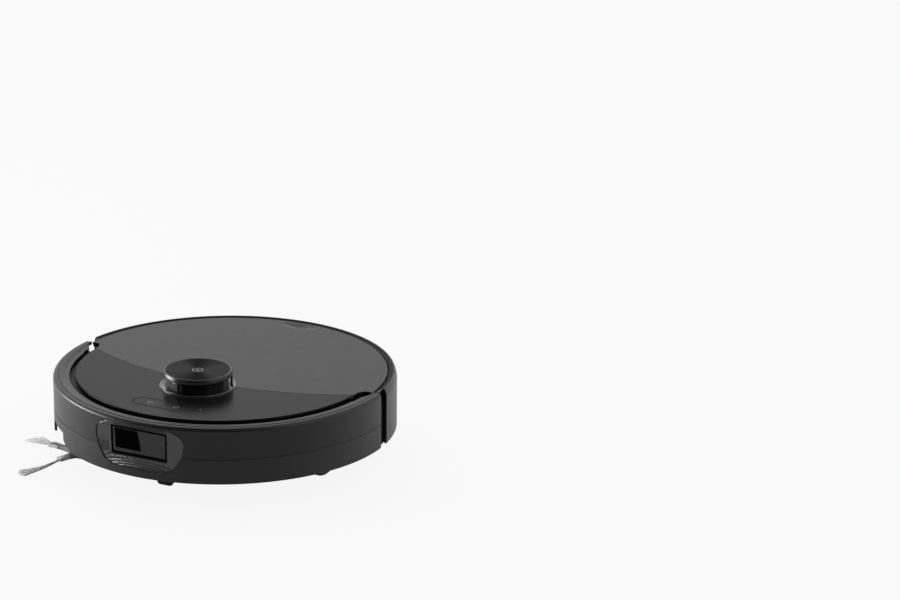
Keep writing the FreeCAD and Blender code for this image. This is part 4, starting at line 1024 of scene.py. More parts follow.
def build_turret():
    ring = ([(RING_R, DECK_Z)]
            + arc_through((RING_R, 86.2), (RING_R - 0.4, 86.85), (RING_R - 1.3, 87.1), 6)
            + arc_through((RING_R - 2.2, 86.9), (35.1, 86.25), (33.4, 85.8), 8) + [(33.4, DECK_Z)])
    mesh = lathe("ring", ring, centre=TURRET, steps=180)
    notches = [beside_post("notch", heading, 0.3, 78, 92, 0) for heading in POST_HEADINGS]
    piece("turret_ring", carved(mesh, notches), "chassis", "ring_gloss", ["turret_base_ring"])
    posts = [beside_post("post", heading, 0.0, 82.2, CAP_UNDER + 0.3, 0.3) for heading in POST_HEADINGS]
    piece("cap_posts", joined("posts", posts), "cap", "inner_plastic", ["turret_pillars"])
    side = arc_through((CAP_R, CAP_UNDER + 0.6), (CAP_R - 0.35, 100.2), (CAP_R - 0.9, CAP_TOP - 0.5), 8)
    cap = ([(0, 98.6), (31.2, 98.6), (31.6, 98.2), (31.6, CAP_UNDER + 0.2), (31.8, CAP_UNDER),
            (CAP_R - 0.5, CAP_UNDER)]
           + side + [(CAP_R - 1.15, CAP_TOP - 0.1), (CAP_R - 1.5, CAP_TOP), (CAP_R - 1.9, CAP_TOP - 0.08),
                     (CAP_R - 2.2, CAP_TOP - 0.35), (0, CAP_TOP - 0.95)])
    piece("cap_body", lathe("cap", cap, centre=TURRET, steps=200), "cap", "cap_satin", ["turret_cap"], 25)
    disc = [(0, CAP_TOP - 1.2), (CAP_R - 2.5, CAP_TOP - 1.2), (CAP_R - 2.4, CAP_TOP - 0.42),
            (CAP_R - 2.7, CAP_TOP - 0.30), (CAP_R - 12.0, CAP_TOP - 0.52), (0, CAP_TOP - 0.82)]
    piece("cap_disc", lathe("disc", disc, centre=TURRET, steps=200), "cap", "spun_cap")
    mark = rectangle(4.6, CAP_TOP - 0.9, 5.5, CAP_TOP - 0.66)
    dot = rectangle(0, CAP_TOP - 0.95, 1.5, CAP_TOP - 0.70)
    marks = [lathe("mark", outline, centre=TURRET, steps=64) for outline in (mark, dot)]
    piece("cap_ring_mark", joined("marks", marks), "cap", "pale_print")
    screw = [(0, 85.0), (1.7, 85.0), (1.7, 86.5), (1.3, 86.9), (0.6, 86.9), (0.5, 86.3), (0, 86.3)]
    screws = [lathe("screw", screw, centre=around(36.0, h, TURRET), steps=20) for h in (104, 224, 344)]
    piece("ring_screws", joined("screws", screws), "chassis", "steel")
    build_rotor()


def build_rotor():
    """Spinning head: drum on its neck and pulley, with the dark optics window let into its side."""
    r = ROTOR_R
    drum = [(0, 81.0), (r, 81.0), (r, 94.6), (r - 0.3, 95.2), (r - 0.9, 95.4), (0, 95.4)]
    mesh = lathe("drum", drum, centre=TURRET, steps=160)
    low, high = span("lidar_lens")[0].z, span("lidar_lens")[1].z
    start, sweep = LENS_ARC[0], LENS_ARC[1] - LENS_ARC[0]
    seat = lathe("seat", rectangle(r - 4.5, low, r + 2, high + 2), start, sweep, 60, TURRET)
    neck = rod("neck", (*TURRET, 72.0), (*TURRET, 81.5), 12.0, 48)
    pulley = [(0, 72.0), (20, 72.0), (20, 72.8), (19.4, 73.4), (19.4, 75.2), (20, 75.8), (20, 76.4),
              (0, 76.4)]
    pulley = lathe("pulley", pulley, centre=TURRET, steps=96)
    drum = joined("drum", [carved(mesh, [seat]), neck, pulley])
    piece("rotor_drum", drum, "rotor", "rotor_plastic", ["lidar_rotor"])
    pane = [(r - 4.4, low + 0.1), (r - 0.5, low + 0.1), (r - 0.1, low + 0.5), (r - 0.1, high - 0.5),
            (r - 0.5, high - 0.1), (r - 4.4, high - 0.1)]
    lens = lathe("optics", pane, start + 0.25, sweep - 0.5, 60, TURRET, end_round=0.5)
    piece("optics_window", lens, "rotor", "sensor_lens", ["lidar_lens"])


# ---------------------------------------------------------------- keys
def stroke(points, width, z0, z1, closed=False):
    """Flat raised line of even width along (x, y) points."""
    half = width / 2
    count = len(points)
    sides = ([], [])
    for k, here in enumerate(points):
        before = Vector(points[k - 1] if k or closed else here)
        after = Vector(points[(k + 1) % count] if k < count - 1 or closed else here)
        along = (after - before).normalized()
        across = Vector((-along.y, along.x)) * half
        sides[0].append(tuple(Vector(here) + across))
        sides[1].append(tuple(Vector(here) - across))
    if not closed:
        return prism("stroke", sides[0] + sides[1][::-1], z0, z1)
    rings = [[(x, y, z) for x, y in side] for side, z in
             ((sides[0], z0), (sides[0], z1), (sides[1], z1), (sides[1], z0))]
    return loft("stroke", rings, closed=True)


def build_keys():
    bezel = plate("bezel", [pill(1.0, -0.1), pill(-1.0)], DECK_Z, PLATE_TOP - 0.1, 0.2, 2)
    piece("key_bezel", bezel, "chassis", "key_plastic", ["button_bezel"])
    half, r, gap = (PILL_LENGTH - PILL_WIDTH) / 2, PILL_WIDTH / 2 - 0.9, 0.2
    for side, body, node in ((-1, "power_button", "power_key"), (1, "dock_button", "dock_key")):
        outline = [(side * gap, PILL_Y - r)] + arc_round((half * side, PILL_Y), r, 0, side * 180, 20)
        outline.append((side * gap, PILL_Y + r))
        if side < 0:
            outline = outline[::-1]
        cap = plate("key", [outline], 83.6, PLATE_TOP, 0.35, 3)
        near, far = sorted((12 * side, 20 * side))
        stem = block("stem", (near, PILL_Y - 4, 76.0), (far, PILL_Y + 4, 83.8), 0.3)
        piece(node + "_cap", joined("key", [cap, stem]), body, "key_plastic", [node])
    low, high = PLATE_TOP - 0.05, PLATE_TOP + 0.04
    x, y = -16.0, PILL_Y
    power = [stroke(arc_round((x, y), 2.6, -145, 145, 28), 0.55, low, high),
             stroke([(x, y + 0.6), (x, y + 3.4)], 0.55, low, high)]
    piece("power_print", joined("print", power), "power_button", "pale_print")
    x = 14.0
    house = [(x - 2.0, y - 2.4), (x + 2.0, y - 2.4), (x + 2.0, y + 0.3), (x + 3.0, y + 0.3),
             (x, y + 3.0), (x - 3.0, y + 0.3), (x - 2.0, y + 0.3)]
    piece("dock_print", stroke(house, 0.5, low, high, True), "dock_button", "pale_print")
    lamp = [(0, PLATE_TOP - 1.0), (0.7, PLATE_TOP - 1.0), (0.7, PLATE_TOP + 0.02),
            (0.5, PLATE_TOP + 0.1), (0, PLATE_TOP + 0.12)]
    lamp = lathe("lamp", lamp, centre=(39.0, -116.0), steps=20)
    piece("status_lamp", lamp, "chassis", "pale_print")


# ---------------------------------------------------------------- side brush
def tube(points, r):
    """Corners and faces of a thin closed tube with four sides."""
    sides = 4
    rings = []
    for k, here in enumerate(points):
        along = Vector(points[min(k + 1, len(points) - 1)]) - Vector(points[max(k - 1, 0)])
        along.normalize()
        across = along.cross(Vector((0, 0, 1)))
        across = across.normalized() if across.length > 1e-6 else Vector((1, 0, 0))
        other = along.cross(across)
        rings.append([tuple(Vector(here) + (across * math.cos(t) + other * math.sin(t)) * r)
                      for t in (math.tau * s / sides for s in range(sides))])
    corners = [p for ring in rings for p in ring]
    last = (len(rings) - 1) * sides
    faces = [tuple(range(sides)), tuple(range(last, last + sides))]
    for low in range(0, last, sides):
        for s in range(sides):
            n = (s + 1) % sides
            faces.append((low + s, low + n, low + sides + n, low + sides + s))
    return corners, faces


TUFTS = (  # heading, root radius, tip radius, spread, flare, tip height, bend, bulge, slant of the tips
    (171.0, 38.0, 79.0, 9.0, 1.0, 2.0, -10.8, 0.0, 0.12),
    (246.0, 24.0, 77.7, 7.0, 2.4, 3.0, 1.7, 5.2, 0.04),
)


def tuft_point(tuft, along, across):
    """Point of a tuft: along runs from root to tip, across from one edge to the other."""
    heading, root, tip, spread, flare, tip_z, bend, bulge, slant = tuft
    a = math.radians(heading)
    reach = root + (tip - root) * along * (1 + slant * across - 0.05 * across * across)
    side = across * (1.4 + spread * along ** flare) + bend * along ** 1.5
    side += bulge * math.sin(math.pi * along)
    z = 7.0 + (tip_z - 7.0) * along ** 1.4
    return (HUB[0] + reach * math.cos(a) - side * math.sin(a),
            HUB[1] + reach * math.sin(a) + side * math.cos(a), z)


def build_bristles(count, radius):
    draw = random.Random(7)
    corners, faces = [], []
    for tuft in TUFTS:
        for k in range(count):
            across = -1 + 2 * (k + draw.uniform(-0.4, 0.4)) / (count - 1)
            length = 1 - draw.uniform(0, 0.05)
            lift = draw.uniform(-0.9, 0.9)
            wander = draw.uniform(-0.03, 0.03)
            points = []
            for s in range(7):
                t = s / 6 * length
                x, y, z = tuft_point(tuft, t, across + wander * t)
                points.append((x, y, max(1.7, z + lift * (0.6 + 0.4 * t))))
            strand, sides = tube(points, radius / MM)
            faces += [tuple(i + len(corners) for i in face) for face in sides]
            corners += strand
    mesh = bpy.data.meshes.new("bristles")
    mesh.from_pydata([tuple(c * MM for c in corner) for corner in corners], [], faces)
    piece("side_brush_tufts", tidy(mesh, 1e-7), "side_brush", "bristle", ["side_brush_bristles"], 60)


def build_side_brush():
    """Hub with a screw in its middle, two soft arms and the clear sleeves that grip the tufts."""
    hub = [(0, 3.6), (8.4, 3.6), (9.2, 4.2), (12.6, 12.6), (12.4, 13.4), (11.6, 13.6), (0, 13.6)]
    parts = [lathe("hub", hub, centre=HUB, steps=72)]
    sleeves = []
    for tuft in TUFTS:
        heading, root = math.radians(tuft[0]), tuft[1]
        along = Vector((math.cos(heading), math.sin(heading)))
        across = Vector((-along.y, along.x))
        rings = []
        for s in range(9):
            t = s / 8
            at = Vector(HUB) + along * (8 + (root - 6) * t)
            half = 4.6 - 1.8 * t
            top, low = 10.8 - 2.6 * t, 4.6 + 0.6 * t
            outline = rounded([(-half, low), (half, low), (half * 0.8, top), (-half * 0.8, top)], 1.1, 3)
            rings.append([(*(at + across * c[0]), c[1]) for c in outline])
        parts.append(loft("arm", rings))
        rings = []
        for s in range(5):
            t = s / 4
            at = Vector(HUB) + along * (root - 7 + 12 * t)
            half = 3.4 + 0.9 * t
            outline = rounded(rectangle(-half, 4.9, half, 9.0 - 0.8 * t), 1.0, 3)
            rings.append([(*(at + across * c[0]), c[1]) for c in outline])
        sleeves.append(loft("sleeve", rings))
        for s in range(4):
            at = Vector(HUB) + along * (root - 5 + 2.6 * s)
            rib = block("rib", (at.x - 0.4, at.y - 3.7, 8.4), (at.x + 0.4, at.y + 3.7, 9.3), 0.25)
            sleeves.append(turned(rib, tuft[0], at.x, at.y))
    piece("brush_hub_arms", joined("arms", parts), "side_brush", "brush_rubber", ["side_brush_hub"])
    piece("tuft_sleeves", joined("sleeves", sleeves), "side_brush", "clear_sleeve")
    screw = [(0, 3.1), (2.6, 3.1), (3.2, 3.5), (3.2, 4.0), (0, 4.0)]
    piece("hub_screw", lathe("screw", screw, centre=HUB, steps=32), "side_brush", "steel")


# ---------------------------------------------------------------- mop pads
STITCH_RINGS = (20.0, 40.0, 57.5)


def cloth_bag(centre, middle, radius):
    """Two round cloths a little apart, sewn to each other at the rim."""
    mesh = bpy.data.meshes.new("pad")
    work = bmesh.new()
    rings, columns = 26, 96
    rows = []
    for layer in (1, -1):
        z = (middle + layer * 1.4) * MM
        layer_rows = []
        for r in range(1, rings + 1):
            reach = radius * r / rings
            ring = []
            for c in range(columns):
                x, y = around(reach, 360 * c / columns, centre)
                ring.append(work.verts.new((x * MM, y * MM, z)))
            layer_rows.append(ring)
        hub = work.verts.new((centre[0] * MM, centre[1] * MM, z))
        for c in range(columns):
            work.faces.new((hub, layer_rows[0][c], layer_rows[0][(c + 1) % columns]))
        for r in range(rings - 1):
            for c in range(columns):
                n = (c + 1) % columns
                work.faces.new((layer_rows[r][c], layer_rows[r + 1][c],
                                layer_rows[r + 1][n], layer_rows[r][n]))
        rows.append(layer_rows)
    for c in range(columns):
        n = (c + 1) % columns
        work.faces.new((rows[0][-1][c], rows[1][-1][c], rows[1][-1][n], rows[0][-1][n]))
    bmesh.ops.recalc_face_normals(work, faces=work.faces)
    work.to_mesh(mesh)
    work.free()
    return mesh


def build_mop(body, node):
    """Sewn cloth pad: a stuffed disc pulled in at its rim and along rings of stitching."""
    low, high = span(node)
    centre = (low.x + high.x) / 2, (low.y + high.y) / 2
    radius, thick = (high.x - low.x) / 2, high.z - low.z
    middle = low.z + thick / 2
    mesh = cloth_bag(centre, middle, radius - 0.8)
    mesh = inflated(mesh)
    for vertex in mesh.vertices:
        x, y = vertex.co.x / MM - centre[0], vertex.co.y / MM - centre[1]
        reach = math.hypot(x, y)
        side = 1 if vertex.co.z > middle * MM else -1
        swell = (thick / 2 - 0.35) * math.sqrt(max(0.0, 1 - (reach / radius) ** 10))
        stitch = sum(math.exp(-((reach - ring) / 1.6) ** 2) for ring in STITCH_RINGS)
        vertex.co.z = (middle + side * (swell * (1 - 0.42 * stitch) + 0.12)) * MM
    thing = piece(node + "_cloth", mesh, body, "mop_fabric", [node], 75)


def inflated(mesh):
    """The closed cloth after its stuffing has swelled for a few frames."""
    start = [v.co.copy() for v in mesh.vertices]
    holder = temporary("cloth", mesh)
    cloth = holder.modifiers.new("cloth", "CLOTH")
    cloth.settings.use_pressure = True
    cloth.settings.uniform_pressure_force = 4.0
    cloth.settings.effector_weights.gravity = 0.0
    scene = bpy.context.scene
    for number in range(1, 13):
        scene.frame_set(number)
    result = evaluated(holder)
    bpy.data.objects.remove(holder)
    scene.frame_set(1)
    cap = 1.5 * MM
    for vertex, before in zip(result.vertices, start):
        move = vertex.co - before
        if move.length > cap:
            vertex.co = before + move.normalized() * cap
    return result


# ---------------------------------------------------------------- underside
def build_rollers():
    """Both halves of the main brush: tapered cores with six twisted, slitted rubber blades."""
    low, high = span("left_main_brush")
    y, z = (low.y + high.y) / 2, (low.z + high.z) / 2
    near, far = low.x, high.x
    tip, blades, stations = 21.0, 6, 40
    for side, name in ((1, "left"), (-1, "right")):
        rings = []
        for s in range(stations + 1):
            t = s / stations
            x = near + (far - near) * t
            end = min(1.0, 12 * t, 12 * (1 - t))
            reach, core = (tip - 3 * (1 - t)) - 0.6 * (1 - end), 15 - 3 * (1 - t) - 0.5 * (1 - end)
            ring = []
            for k in range(blades):
                for offset, r in ((-0.5, core), (-0.19, core), (-0.11, core + 0.8), (-0.075, reach - 0.5),
                                  (-0.03, reach), (0.03, reach), (0.075, reach - 0.5), (0.11, core + 0.8),
                                  (0.19, core)):
                    a = 0.9 * t + (k + offset) * math.tau / blades
                    ring.append((side * x, y + r * math.cos(a), z + r * math.sin(a)))
            rings.append(ring)
        cap = rod("cap", (side * (near + 0.4), y, z), (side * (near - 0.4), y, z), 9, 32, 0.3)
        roller = joined("roller", [loft("roller", rings), cap])
        node = name + "_main_brush"
        piece(node + "_roller", roller, name + "_roller", "roller_rubber", [node], 40)


def build_wheels():
    """Tyres with curved lugs across their tread."""
    for name in ("left", "right"):
        low, high = span(name + "_wheel_tyre")
        y, z, r = (low.y + high.y) / 2, (low.z + high.z) / 2, (high.z - low.z) / 2
        x0, x1 = low.x, high.x
        lugs, steps = 28, 8
        rings = []
        for c in range(lugs * steps):
            lug = r if c % steps < 5 else r - 1.9
            section = [(x0 + 0.3, r - 6), (x0, r - 5.7), (x0, r - 1.6), (x0 + 0.5, r - 0.7),
                       (x0 + 1.4, lug - 0.15), (x0 + 2.2, lug), (x1 - 2.2, lug), (x1 - 1.4, lug - 0.15),
                       (x1 - 0.5, r - 0.7), (x1, r - 1.6), (x1, r - 5.7), (x1 - 0.3, r - 6)]
            ring = []
            for x, q in section:
                a = math.tau * c / (lugs * steps) + 0.05 * math.sin((x - x0) / (x1 - x0) * math.pi)
                ring.append((x, y + q * math.cos(a), z + q * math.sin(a)))
            rings.append(ring)
        piece(name + "_tyre_lugs", loft("tyre", rings, closed=True), name + "_wheel", "tyre_rubber",
              [name + "_wheel_tyre"], 40)


PAN_SCREWS = ((44, 14), (-44, 14), (0, 14), (0, -62), (48, -66), (-48, -66), (72, -98))
CLIFF_SENSORS = ((40, -112), (-40, -112), (98, -72), (-60, -85))


def build_underside():
    """Screw collars, sensor rims and the brush guard of the floor pan."""
    tray_low = span("chassis_tray")[0].z
    parts = []
    for at in PAN_SCREWS:
        collar = [(3.4, tray_low - 0.5), (5.0, tray_low - 0.5), (5.4, tray_low + 0.1), (3.2, tray_low + 0.1)]
        parts.append(lathe("collar", collar, centre=at, steps=36))
    piece("screw_collars", joined("collars", parts), "chassis", "underside_plastic")
    rims = []
    for x, y in CLIFF_SENSORS:
        outline = rounded(rectangle(x - 8.6, y - 5.1, x + 8.6, y + 5.1), 3.0, 5)
        hole = inset(outline, 1.4)
        rings = [[(px, py, pz) for px, py in shape] for shape, pz in
                 ((outline, tray_low + 0.1), (inset(outline, 0.3), tray_low - 0.6), (hole, tray_low - 0.6),
                  (hole, tray_low + 0.1))]
        rims.append(loft("rim", rings, closed=True))
    piece("sensor_rims", joined("rims", rims), "chassis", "inner_plastic")
    build_guard()


def build_guard():
    """Frame over the mouth of the main brush, with three bars and two ridged tabs."""
    low, high = span("brush_guard")
    y, back, z0, z1 = (low.y + high.y) / 2, high.y, low.z, high.z
    outer = rounded(rectangle(-88.6, low.y, 88.6, back), 4, 5)
    mouth = rounded(rectangle(-84.5, y - 23, 84.5, y + 23), 3, 5)
    guard = [plate("guard", [outer, mouth], z0, z1, 0.6, 3)]
    for x in (-42.25, 0.0, 42.25):
        guard.append(block("bar", (x - 1.4, y - 23.4, z0 + 0.1), (x + 1.4, y + 23.4, z1 - 0.1), 0.5))
    for at in (-60, 60):
        guard.append(block("tab", (at - 9, back - 5.5, z0 - 0.4), (at + 9, back - 1.5, z0 + 0.4), 0.35))
        for x in range(at - 6, at + 7, 3):
            guard.append(block("ridge", (x - 0.4, back - 5.0, z0 - 0.8), (x + 0.4, back - 2.0, z0 - 0.3),
                               0.15))
    piece("guard_frame", joined("guard", guard), "chassis", "underside_plastic", ["brush_guard"])


# ---------------------------------------------------------------- under the cover
def build_dustbin():
    """Lid of the dustbin, with its ridges, latch and well, and the bar handle over the well."""
    low, high = span("dustbin_lid")
    lid = plate("lid", [rounded(rectangle(low.x, low.y, high.x, high.y), 3, 5)], low.z, high.z, 0.7, 3)
    well = rounded(rectangle(-22, low.y + 14, 22, high.y - 14), 6, 6)
    lid = carved(lid, [prism("well", well, high.z - 2.0, high.z + 5)])
    parts = [lid]
    for x in range(32, 58, 5):
        parts.append(block("ridge", (x, low.y + 12, high.z - 0.2), (x + 1.6, high.y - 12, high.z + 0.5), 0.3))
    parts.append(block("latch", (-9, high.y - 6.5, high.z - 0.3), (9, high.y - 2.0, high.z + 0.7), 0.6))
    piece("bin_lid_top", joined("lid", parts), "dustbin", "bin_lid", ["dustbin_lid"])
    low, high = span("dustbin_handle")
    rings = []
    for x, z in arc_through((low.x, high.z - 3.2), (0, high.z - 0.2), (high.x, high.z - 3.2), 16):
        outline = rounded(rectangle(low.y + 0.4, z - 1.6, high.y - 0.4, z + 0.2), 0.7, 3)
        rings.append([(x, cy, min(cz, high.z)) for cy, cz in outline])
    parts = [loft("grip", rings)]
    for x in (-20.4, 20.4):
        start, end = (x, low.y + 0.6, high.z - 3.4), (x, high.y - 0.6, high.z - 3.4)
        parts.append(rod("pin", start, end, 0.55, 16))
    piece("bin_grip", joined("grip", parts), "dustbin", "bin_handle", ["dustbin_handle"])


DECK_BOSSES = ((92, 12), (128, 68), (70, 128))


def build_deck():
    """Ribs, bosses, screws and the reset button on the deck."""
    parts, screws = [], []
    z = DECK_Z
    boss = [(0, z - 0.2), (4.6, z - 0.2), (4.6, z + 0.5), (4.2, z + 0.8), (2.6, z + 0.8), (2.6, z + 0.2),
            (0, z + 0.2)]
    screw = [(0, z + 0.1), (2.2, z + 0.1), (2.2, z + 0.5), (1.6, z + 0.75), (0.7, z + 0.75),
             (0.6, z + 0.3), (0, z + 0.3)]
    for side in (-1, 1):
        for k in range(4):
            y = 20 + 22 * k
            reach = math.sqrt(158.0 ** 2 - y * y) if y > 30 else 150.0
            x0, x1 = sorted((side * 92, side * min(reach, 146)))
            parts.append(block("rib", (x0, y - 0.8, z - 0.2), (x1, y + 0.8, z + 0.7), 0.3))
        for x, y in DECK_BOSSES:
            parts.append(lathe("boss", boss, centre=(side * x, y), steps=40))
            screws.append(lathe("screw", screw, centre=(side * x, y), steps=24))
    rim = rounded(rectangle(-76, 2, 76, 67), 4, 5)
    rim_in = inset(rim, 1.2)
    rings = [[(px, py, pz) for px, py in shape] for shape, pz in
             ((rim, z - 0.2), (rim, z + 0.9), (rim_in, z + 0.9), (rim_in, z - 0.2))]
    parts.append(loft("rim", rings, closed=True))
    arcs = arc_round((0, 0), 140.0, 135, 225, 60) + arc_round((0, 0), 138.6, 225, 135, 60)
    parts.append(prism("rib", arcs, z - 0.2, z + 0.8))
    piece("deck_ribs", joined("ribs", parts), "chassis", "inner_plastic")
    piece("deck_screws", joined("screws", screws), "chassis", "steel")
    button = [(0, z - 0.1), (6.0, z - 0.1), (6.0, z + 0.9), (5.4, z + 1.3), (2.0, z + 1.1), (0, z + 1.0)]
    button = lathe("button", button, centre=(-104.0, 40.0), steps=48)
    piece("reset_button", button, "chassis", "key_plastic")


# ---------------------------------------------------------------- stage
LAMPS = (  # name, place, width and height, power; each points at the middle of the robot
    ("key", (-1.1, 0.9, 1.5), (1.4, 1.0), 4.0),
    ("fill", (1.6, -0.4, 1.1), (0.8, 0.8), 1.5),
    ("left", (-1.25, -0.42, 0.17), (0.8, 0.32), 15.0),
)
LAMP_AIM = (0.0, 0.0, 0.05)
FLOOR_WHITE = 0.90


def build_stage(stage):
    """Pale floor, soft lamps, white surround and the camera."""
    scene = bpy.context.scene
    scene.view_settings.view_transform = "Standard"
    floor = bpy.data.meshes.new("floor")
    work = bmesh.new()
    bmesh.ops.create_circle(work, cap_ends=True, radius=9.0, segments=96)
    work.to_mesh(floor)
    work.free()
    floor.materials.append(floor_finish(tuple(stage.floor_colour)))
    temporary("floor", floor)
    build_surround(scene)
    for name, place, size, power in LAMPS:
        lamp = bpy.data.lights.new(name, "AREA")
        lamp.shape = "RECTANGLE"
        lamp.size, lamp.size_y = size
        lamp.energy = power * stage.light_level
        holder = temporary(name, lamp)
        holder.location = place
        holder.rotation_euler = (Vector(LAMP_AIM) - Vector(place)).to_track_quat("-Z", "Y").to_euler()
        holder.visible_camera = False
    camera = bpy.data.cameras.new("camera")
    camera.lens = stage.lens
    camera.sensor_width = 36.0
    camera.clip_start, camera.clip_end = 0.05, 50.0
    holder = temporary("camera", camera)
    holder.location = stage.camera_place
    aim = Euler((stage.camera_tilt, 0.0, stage.camera_turn)).to_matrix()
    holder.rotation_euler = (aim @ Matrix.Rotation(stage.camera_roll, 3, "Z")).to_euler()
    scene.camera = holder


def floor_finish(colour):
    """Matt floor, mixed with white where the camera or a gloss ray meets it; for gloss rays the white is cut in
    front, towards +X and close round the robot, a painted shadow and a painted darker room seen in reflections.
    """
    material, tree, shader = shaded("floor")
    tinted(tree, shader, noise(tree, 3.0), scaled(colour, 0.985), colour)
    socket(shader, "Roughness", 0.9)
    socket(shader, "Specular IOR Level", 0.1)
    white = tree.nodes.new("ShaderNodeEmission")
    # Painted shade in reflections: for gloss rays the floor's white is scaled from 0.9 behind down to 0.22 in
    # front and towards +X, and from 1.0 down to 0.65 within 0.19 m of the robot's middle, the two multiplied,
    # standing in for a darker room there and for the robot's shadow on the floor.
    across = measured(tree, "DOT_PRODUCT")
    across.node.inputs[1].default_value = (-0.35, 1.0, 0.0)
    far = measured(tree, "LENGTH")
    depth = combined(tree, "MULTIPLY", ranged(tree, across, 0.22, 0.9, -0.26, -0.03),
                     ranged(tree, far, 0.65, 1.0, 0.19, 0.33))
    share = tree.nodes.new("ShaderNodeMath")
    share.operation = "MULTIPLY"
    share.inputs[1].default_value = FLOOR_WHITE
    tree.links.new(background_share(tree, depth), share.inputs[0])
    mix = tree.nodes.new("ShaderNodeMixShader")
    tree.links.new(share.outputs["Value"], mix.inputs["Fac"])
    tree.links.new(shader.outputs["BSDF"], mix.inputs[1])
    tree.links.new(white.outputs["Emission"], mix.inputs[2])
    tree.links.new(mix.outputs["Shader"], tree.nodes["Material Output"].inputs["Surface"])
    return material


def measured(tree, operation):
    """Number that a vector operation gives for the place on the object."""
    vector = tree.nodes.new("ShaderNodeVectorMath")
    vector.operation = operation
    tree.links.new(place_of(tree), vector.inputs[0])
    return vector.outputs["Value"]


def combined(tree, operation, first, second):
    """Result of a Math node on two sockets."""
    both = tree.nodes.new("ShaderNodeMath")
    both.operation = operation
    tree.links.new(first, both.inputs[0])
    tree.links.new(second, both.inputs[1])
    return both.outputs["Value"]


def background_share(tree, depth):
    """How much of the white background a ray meets: all of it for the camera, and in gloss and through
    glass as much as depth gives, so that the front of the room stays darker there, and, on the floor,
    also close round the robot, which paints its shadow into reflections; none for the light that falls
    on things."""
    path = tree.nodes.new("ShaderNodeLightPath")
    gloss = combined(tree, "MAXIMUM", path.outputs["Is Glossy Ray"], path.outputs["Is Transmission Ray"])
    return combined(tree, "MAXIMUM", path.outputs["Is Camera Ray"], combined(tree, "MULTIPLY", gloss, depth))


def build_surround(scene):
    """White as a background; a soft room, darker in front, for the light that falls on things."""
    world = bpy.data.worlds.new("surround")
    scene.world = world
    world.use_nodes = True
    tree = world.node_tree
    tree.nodes.clear()
    out = tree.nodes.new("ShaderNodeOutputWorld")
    room, white = tree.nodes.new("ShaderNodeBackground"), tree.nodes.new("ShaderNodeBackground")
    white.inputs["Color"].default_value = (1.0, 1.0, 1.0, 1.0)
    white.inputs["Strength"].default_value = 1.0
    split = tree.nodes.new("ShaderNodeSeparateXYZ")
    tree.links.new(tree.nodes.new("ShaderNodeTexCoord").outputs["Generated"], split.inputs["Vector"])
    depth = tree.nodes.new("ShaderNodeMapRange")
    depth.interpolation_type = "SMOOTHSTEP"
    for name, number in (("From Min", -0.75), ("From Max", 0.35), ("To Min", 0.05), ("To Max", 0.75)):
        depth.inputs[name].default_value = number
    tree.links.new(split.outputs["Y"], depth.inputs["Value"])
    tree.links.new(depth.outputs["Result"], room.inputs["Strength"])
    room.inputs["Color"].default_value = (1.0, 1.0, 1.0, 1.0)
    mix = tree.nodes.new("ShaderNodeMixShader")
    behind = ranged(tree, split.outputs["Y"], 0.0, 1.0, -0.4, 0.3)
    tree.links.new(background_share(tree, behind), mix.inputs["Fac"])
    tree.links.new(room.outputs["Background"], mix.inputs[1])
    tree.links.new(white.outputs["Background"], mix.inputs[2])
    tree.links.new(mix.outputs["Shader"], out.inputs["Surface"])


# ---------------------------------------------------------------- operators
class ROBOT_OT_finishes(bpy.types.Operator):
    """Give every part of the frame its finish"""
    bl_idname = "robot_vacuum.finishes"
    bl_label = "Finishes"

    def execute(self, context):
        for part in frame["record"]["subparts"]:
            material = finish(part["material_slot"])
            for place in frame["nodes"][part["node"]].material_slots:
                place.material = material
        return {"FINISHED"}


class ROBOT_OT_bumper(bpy.types.Operator):
    """Build the sprung bumper: satin upper shell and speckled lower band"""
    bl_idname = "robot_vacuum.bumper"
    bl_label = "Bumper"

    def execute(self, context):
        build_bumper(context.scene.robot_sizes.rim_columns)
        return {"FINISHED"}


class ROBOT_OT_window(bpy.types.Operator):
    """Build the funnel with mitred faces and the sensor glass in it"""
    bl_idname = "robot_vacuum.window"
    bl_label = "Sensor window"

    def execute(self, context):
        build_funnel()
        build_glass()
        return {"FINISHED"}


class ROBOT_OT_rear_shell(bpy.types.Operator):
    """Build the fixed shell round the back, with its vents and ports"""
    bl_idname = "robot_vacuum.rear_shell"
    bl_label = "Rear shell"

    def execute(self, context):
        build_rear_shell(context.scene.robot_sizes.rim_columns)
        return {"FINISHED"}


class ROBOT_OT_top_plates(bpy.types.Operator):
    """Build the front plate and the lift-off rear cover"""
    bl_idname = "robot_vacuum.top_plates"
    bl_label = "Top plates"

    def execute(self, context):
        edge = context.scene.robot_sizes.edge_round / MM
        build_front_plate(edge)
        build_rear_cover(edge)
        return {"FINISHED"}


class ROBOT_OT_turret(bpy.types.Operator):
    """Build the laser turret: ring, posts, turned cap and spinning head"""
    bl_idname = "robot_vacuum.turret"
    bl_label = "Turret"

    def execute(self, context):
        build_turret()
        return {"FINISHED"}


class ROBOT_OT_keys(bpy.types.Operator):
    """Build both keys of the front plate, their prints and the status lamp"""
    bl_idname = "robot_vacuum.keys"
    bl_label = "Keys"

    def execute(self, context):
        build_keys()
        return {"FINISHED"}


class ROBOT_OT_side_brush(bpy.types.Operator):
    """Build the side brush: hub, soft arms, sleeves and fanned bristles"""
    bl_idname = "robot_vacuum.side_brush"
    bl_label = "Side brush"

    def execute(self, context):
        sizes = context.scene.robot_sizes
        build_side_brush()
        build_bristles(sizes.bristles, sizes.bristle_radius)
        return {"FINISHED"}


class ROBOT_OT_mops(bpy.types.Operator):
    """Build both stuffed mop pads"""
    bl_idname = "robot_vacuum.mops"
    bl_label = "Mop pads"

    def execute(self, context):
        build_mop("left_mop", "left_mop_pad")
        build_mop("right_mop", "right_mop_pad")
        return {"FINISHED"}


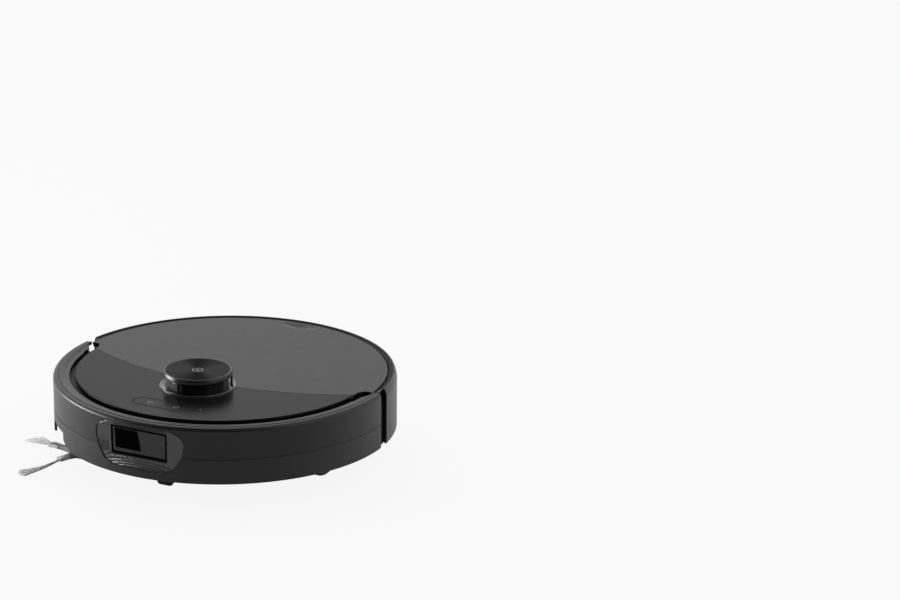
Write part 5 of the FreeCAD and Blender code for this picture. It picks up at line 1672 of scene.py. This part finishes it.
class ROBOT_OT_underside(bpy.types.Operator):
    """Build rollers, tyres and the small parts of the floor pan"""
    bl_idname = "robot_vacuum.underside"
    bl_label = "Underside"

    def execute(self, context):
        build_rollers()
        build_wheels()
        build_underside()
        return {"FINISHED"}


class ROBOT_OT_bay(bpy.types.Operator):
    """Build what the rear cover hides: the dustbin's lid and handle, and the deck's small parts"""
    bl_idname = "robot_vacuum.bay"
    bl_label = "Under the cover"

    def execute(self, context):
        build_dustbin()
        build_deck()
        return {"FINISHED"}


class ROBOT_OT_stage(bpy.types.Operator):
    """Set the pale floor, soft lamps, white surround and camera"""
    bl_idname = "robot_vacuum.stage"
    bl_label = "Stage"

    def execute(self, context):
        build_stage(context.scene.robot_stage)
        return {"FINISHED"}


PIECE_OPERATORS = (ROBOT_OT_finishes, ROBOT_OT_bumper, ROBOT_OT_window, ROBOT_OT_rear_shell,
                   ROBOT_OT_top_plates, ROBOT_OT_turret, ROBOT_OT_keys, ROBOT_OT_side_brush,
                   ROBOT_OT_mops, ROBOT_OT_underside, ROBOT_OT_bay, ROBOT_OT_stage)


class ROBOT_PT_panel(bpy.types.Panel):
    """Lists the operators that make the pieces"""
    bl_idname = "ROBOT_PT_panel"
    bl_label = "Robot Vacuum"
    bl_space_type = "VIEW_3D"
    bl_region_type = "UI"
    bl_category = "Robot Vacuum"

    def draw(self, context):
        for group in ("robot_sizes", "robot_colours", "robot_stage"):
            settings = getattr(context.scene, group)
            for name in settings.__annotations__:
                self.layout.prop(settings, name)
        for operator in PIECE_OPERATORS:
            self.layout.operator(operator.bl_idname)


SETTINGS = {"robot_colours": RobotColours, "robot_sizes": RobotSizes, "robot_stage": StageSettings}


def register():
    for group in SETTINGS.values():
        bpy.utils.register_class(group)
    for name, group in SETTINGS.items():
        setattr(bpy.types.Scene, name, bpy.props.PointerProperty(type=group))
    for operator in PIECE_OPERATORS:
        bpy.utils.register_class(operator)
    bpy.utils.register_class(ROBOT_PT_panel)


def unregister():
    bpy.utils.unregister_class(ROBOT_PT_panel)
    for operator in reversed(PIECE_OPERATORS):
        bpy.utils.unregister_class(operator)
    for name, group in SETTINGS.items():
        delattr(bpy.types.Scene, name)
        bpy.utils.unregister_class(group)


def main():
    register()
    for operator in PIECE_OPERATORS:
        name = operator.bl_idname.split(".")[1]
        getattr(bpy.ops.robot_vacuum, name)()


if __name__ == "__main__":
    main()
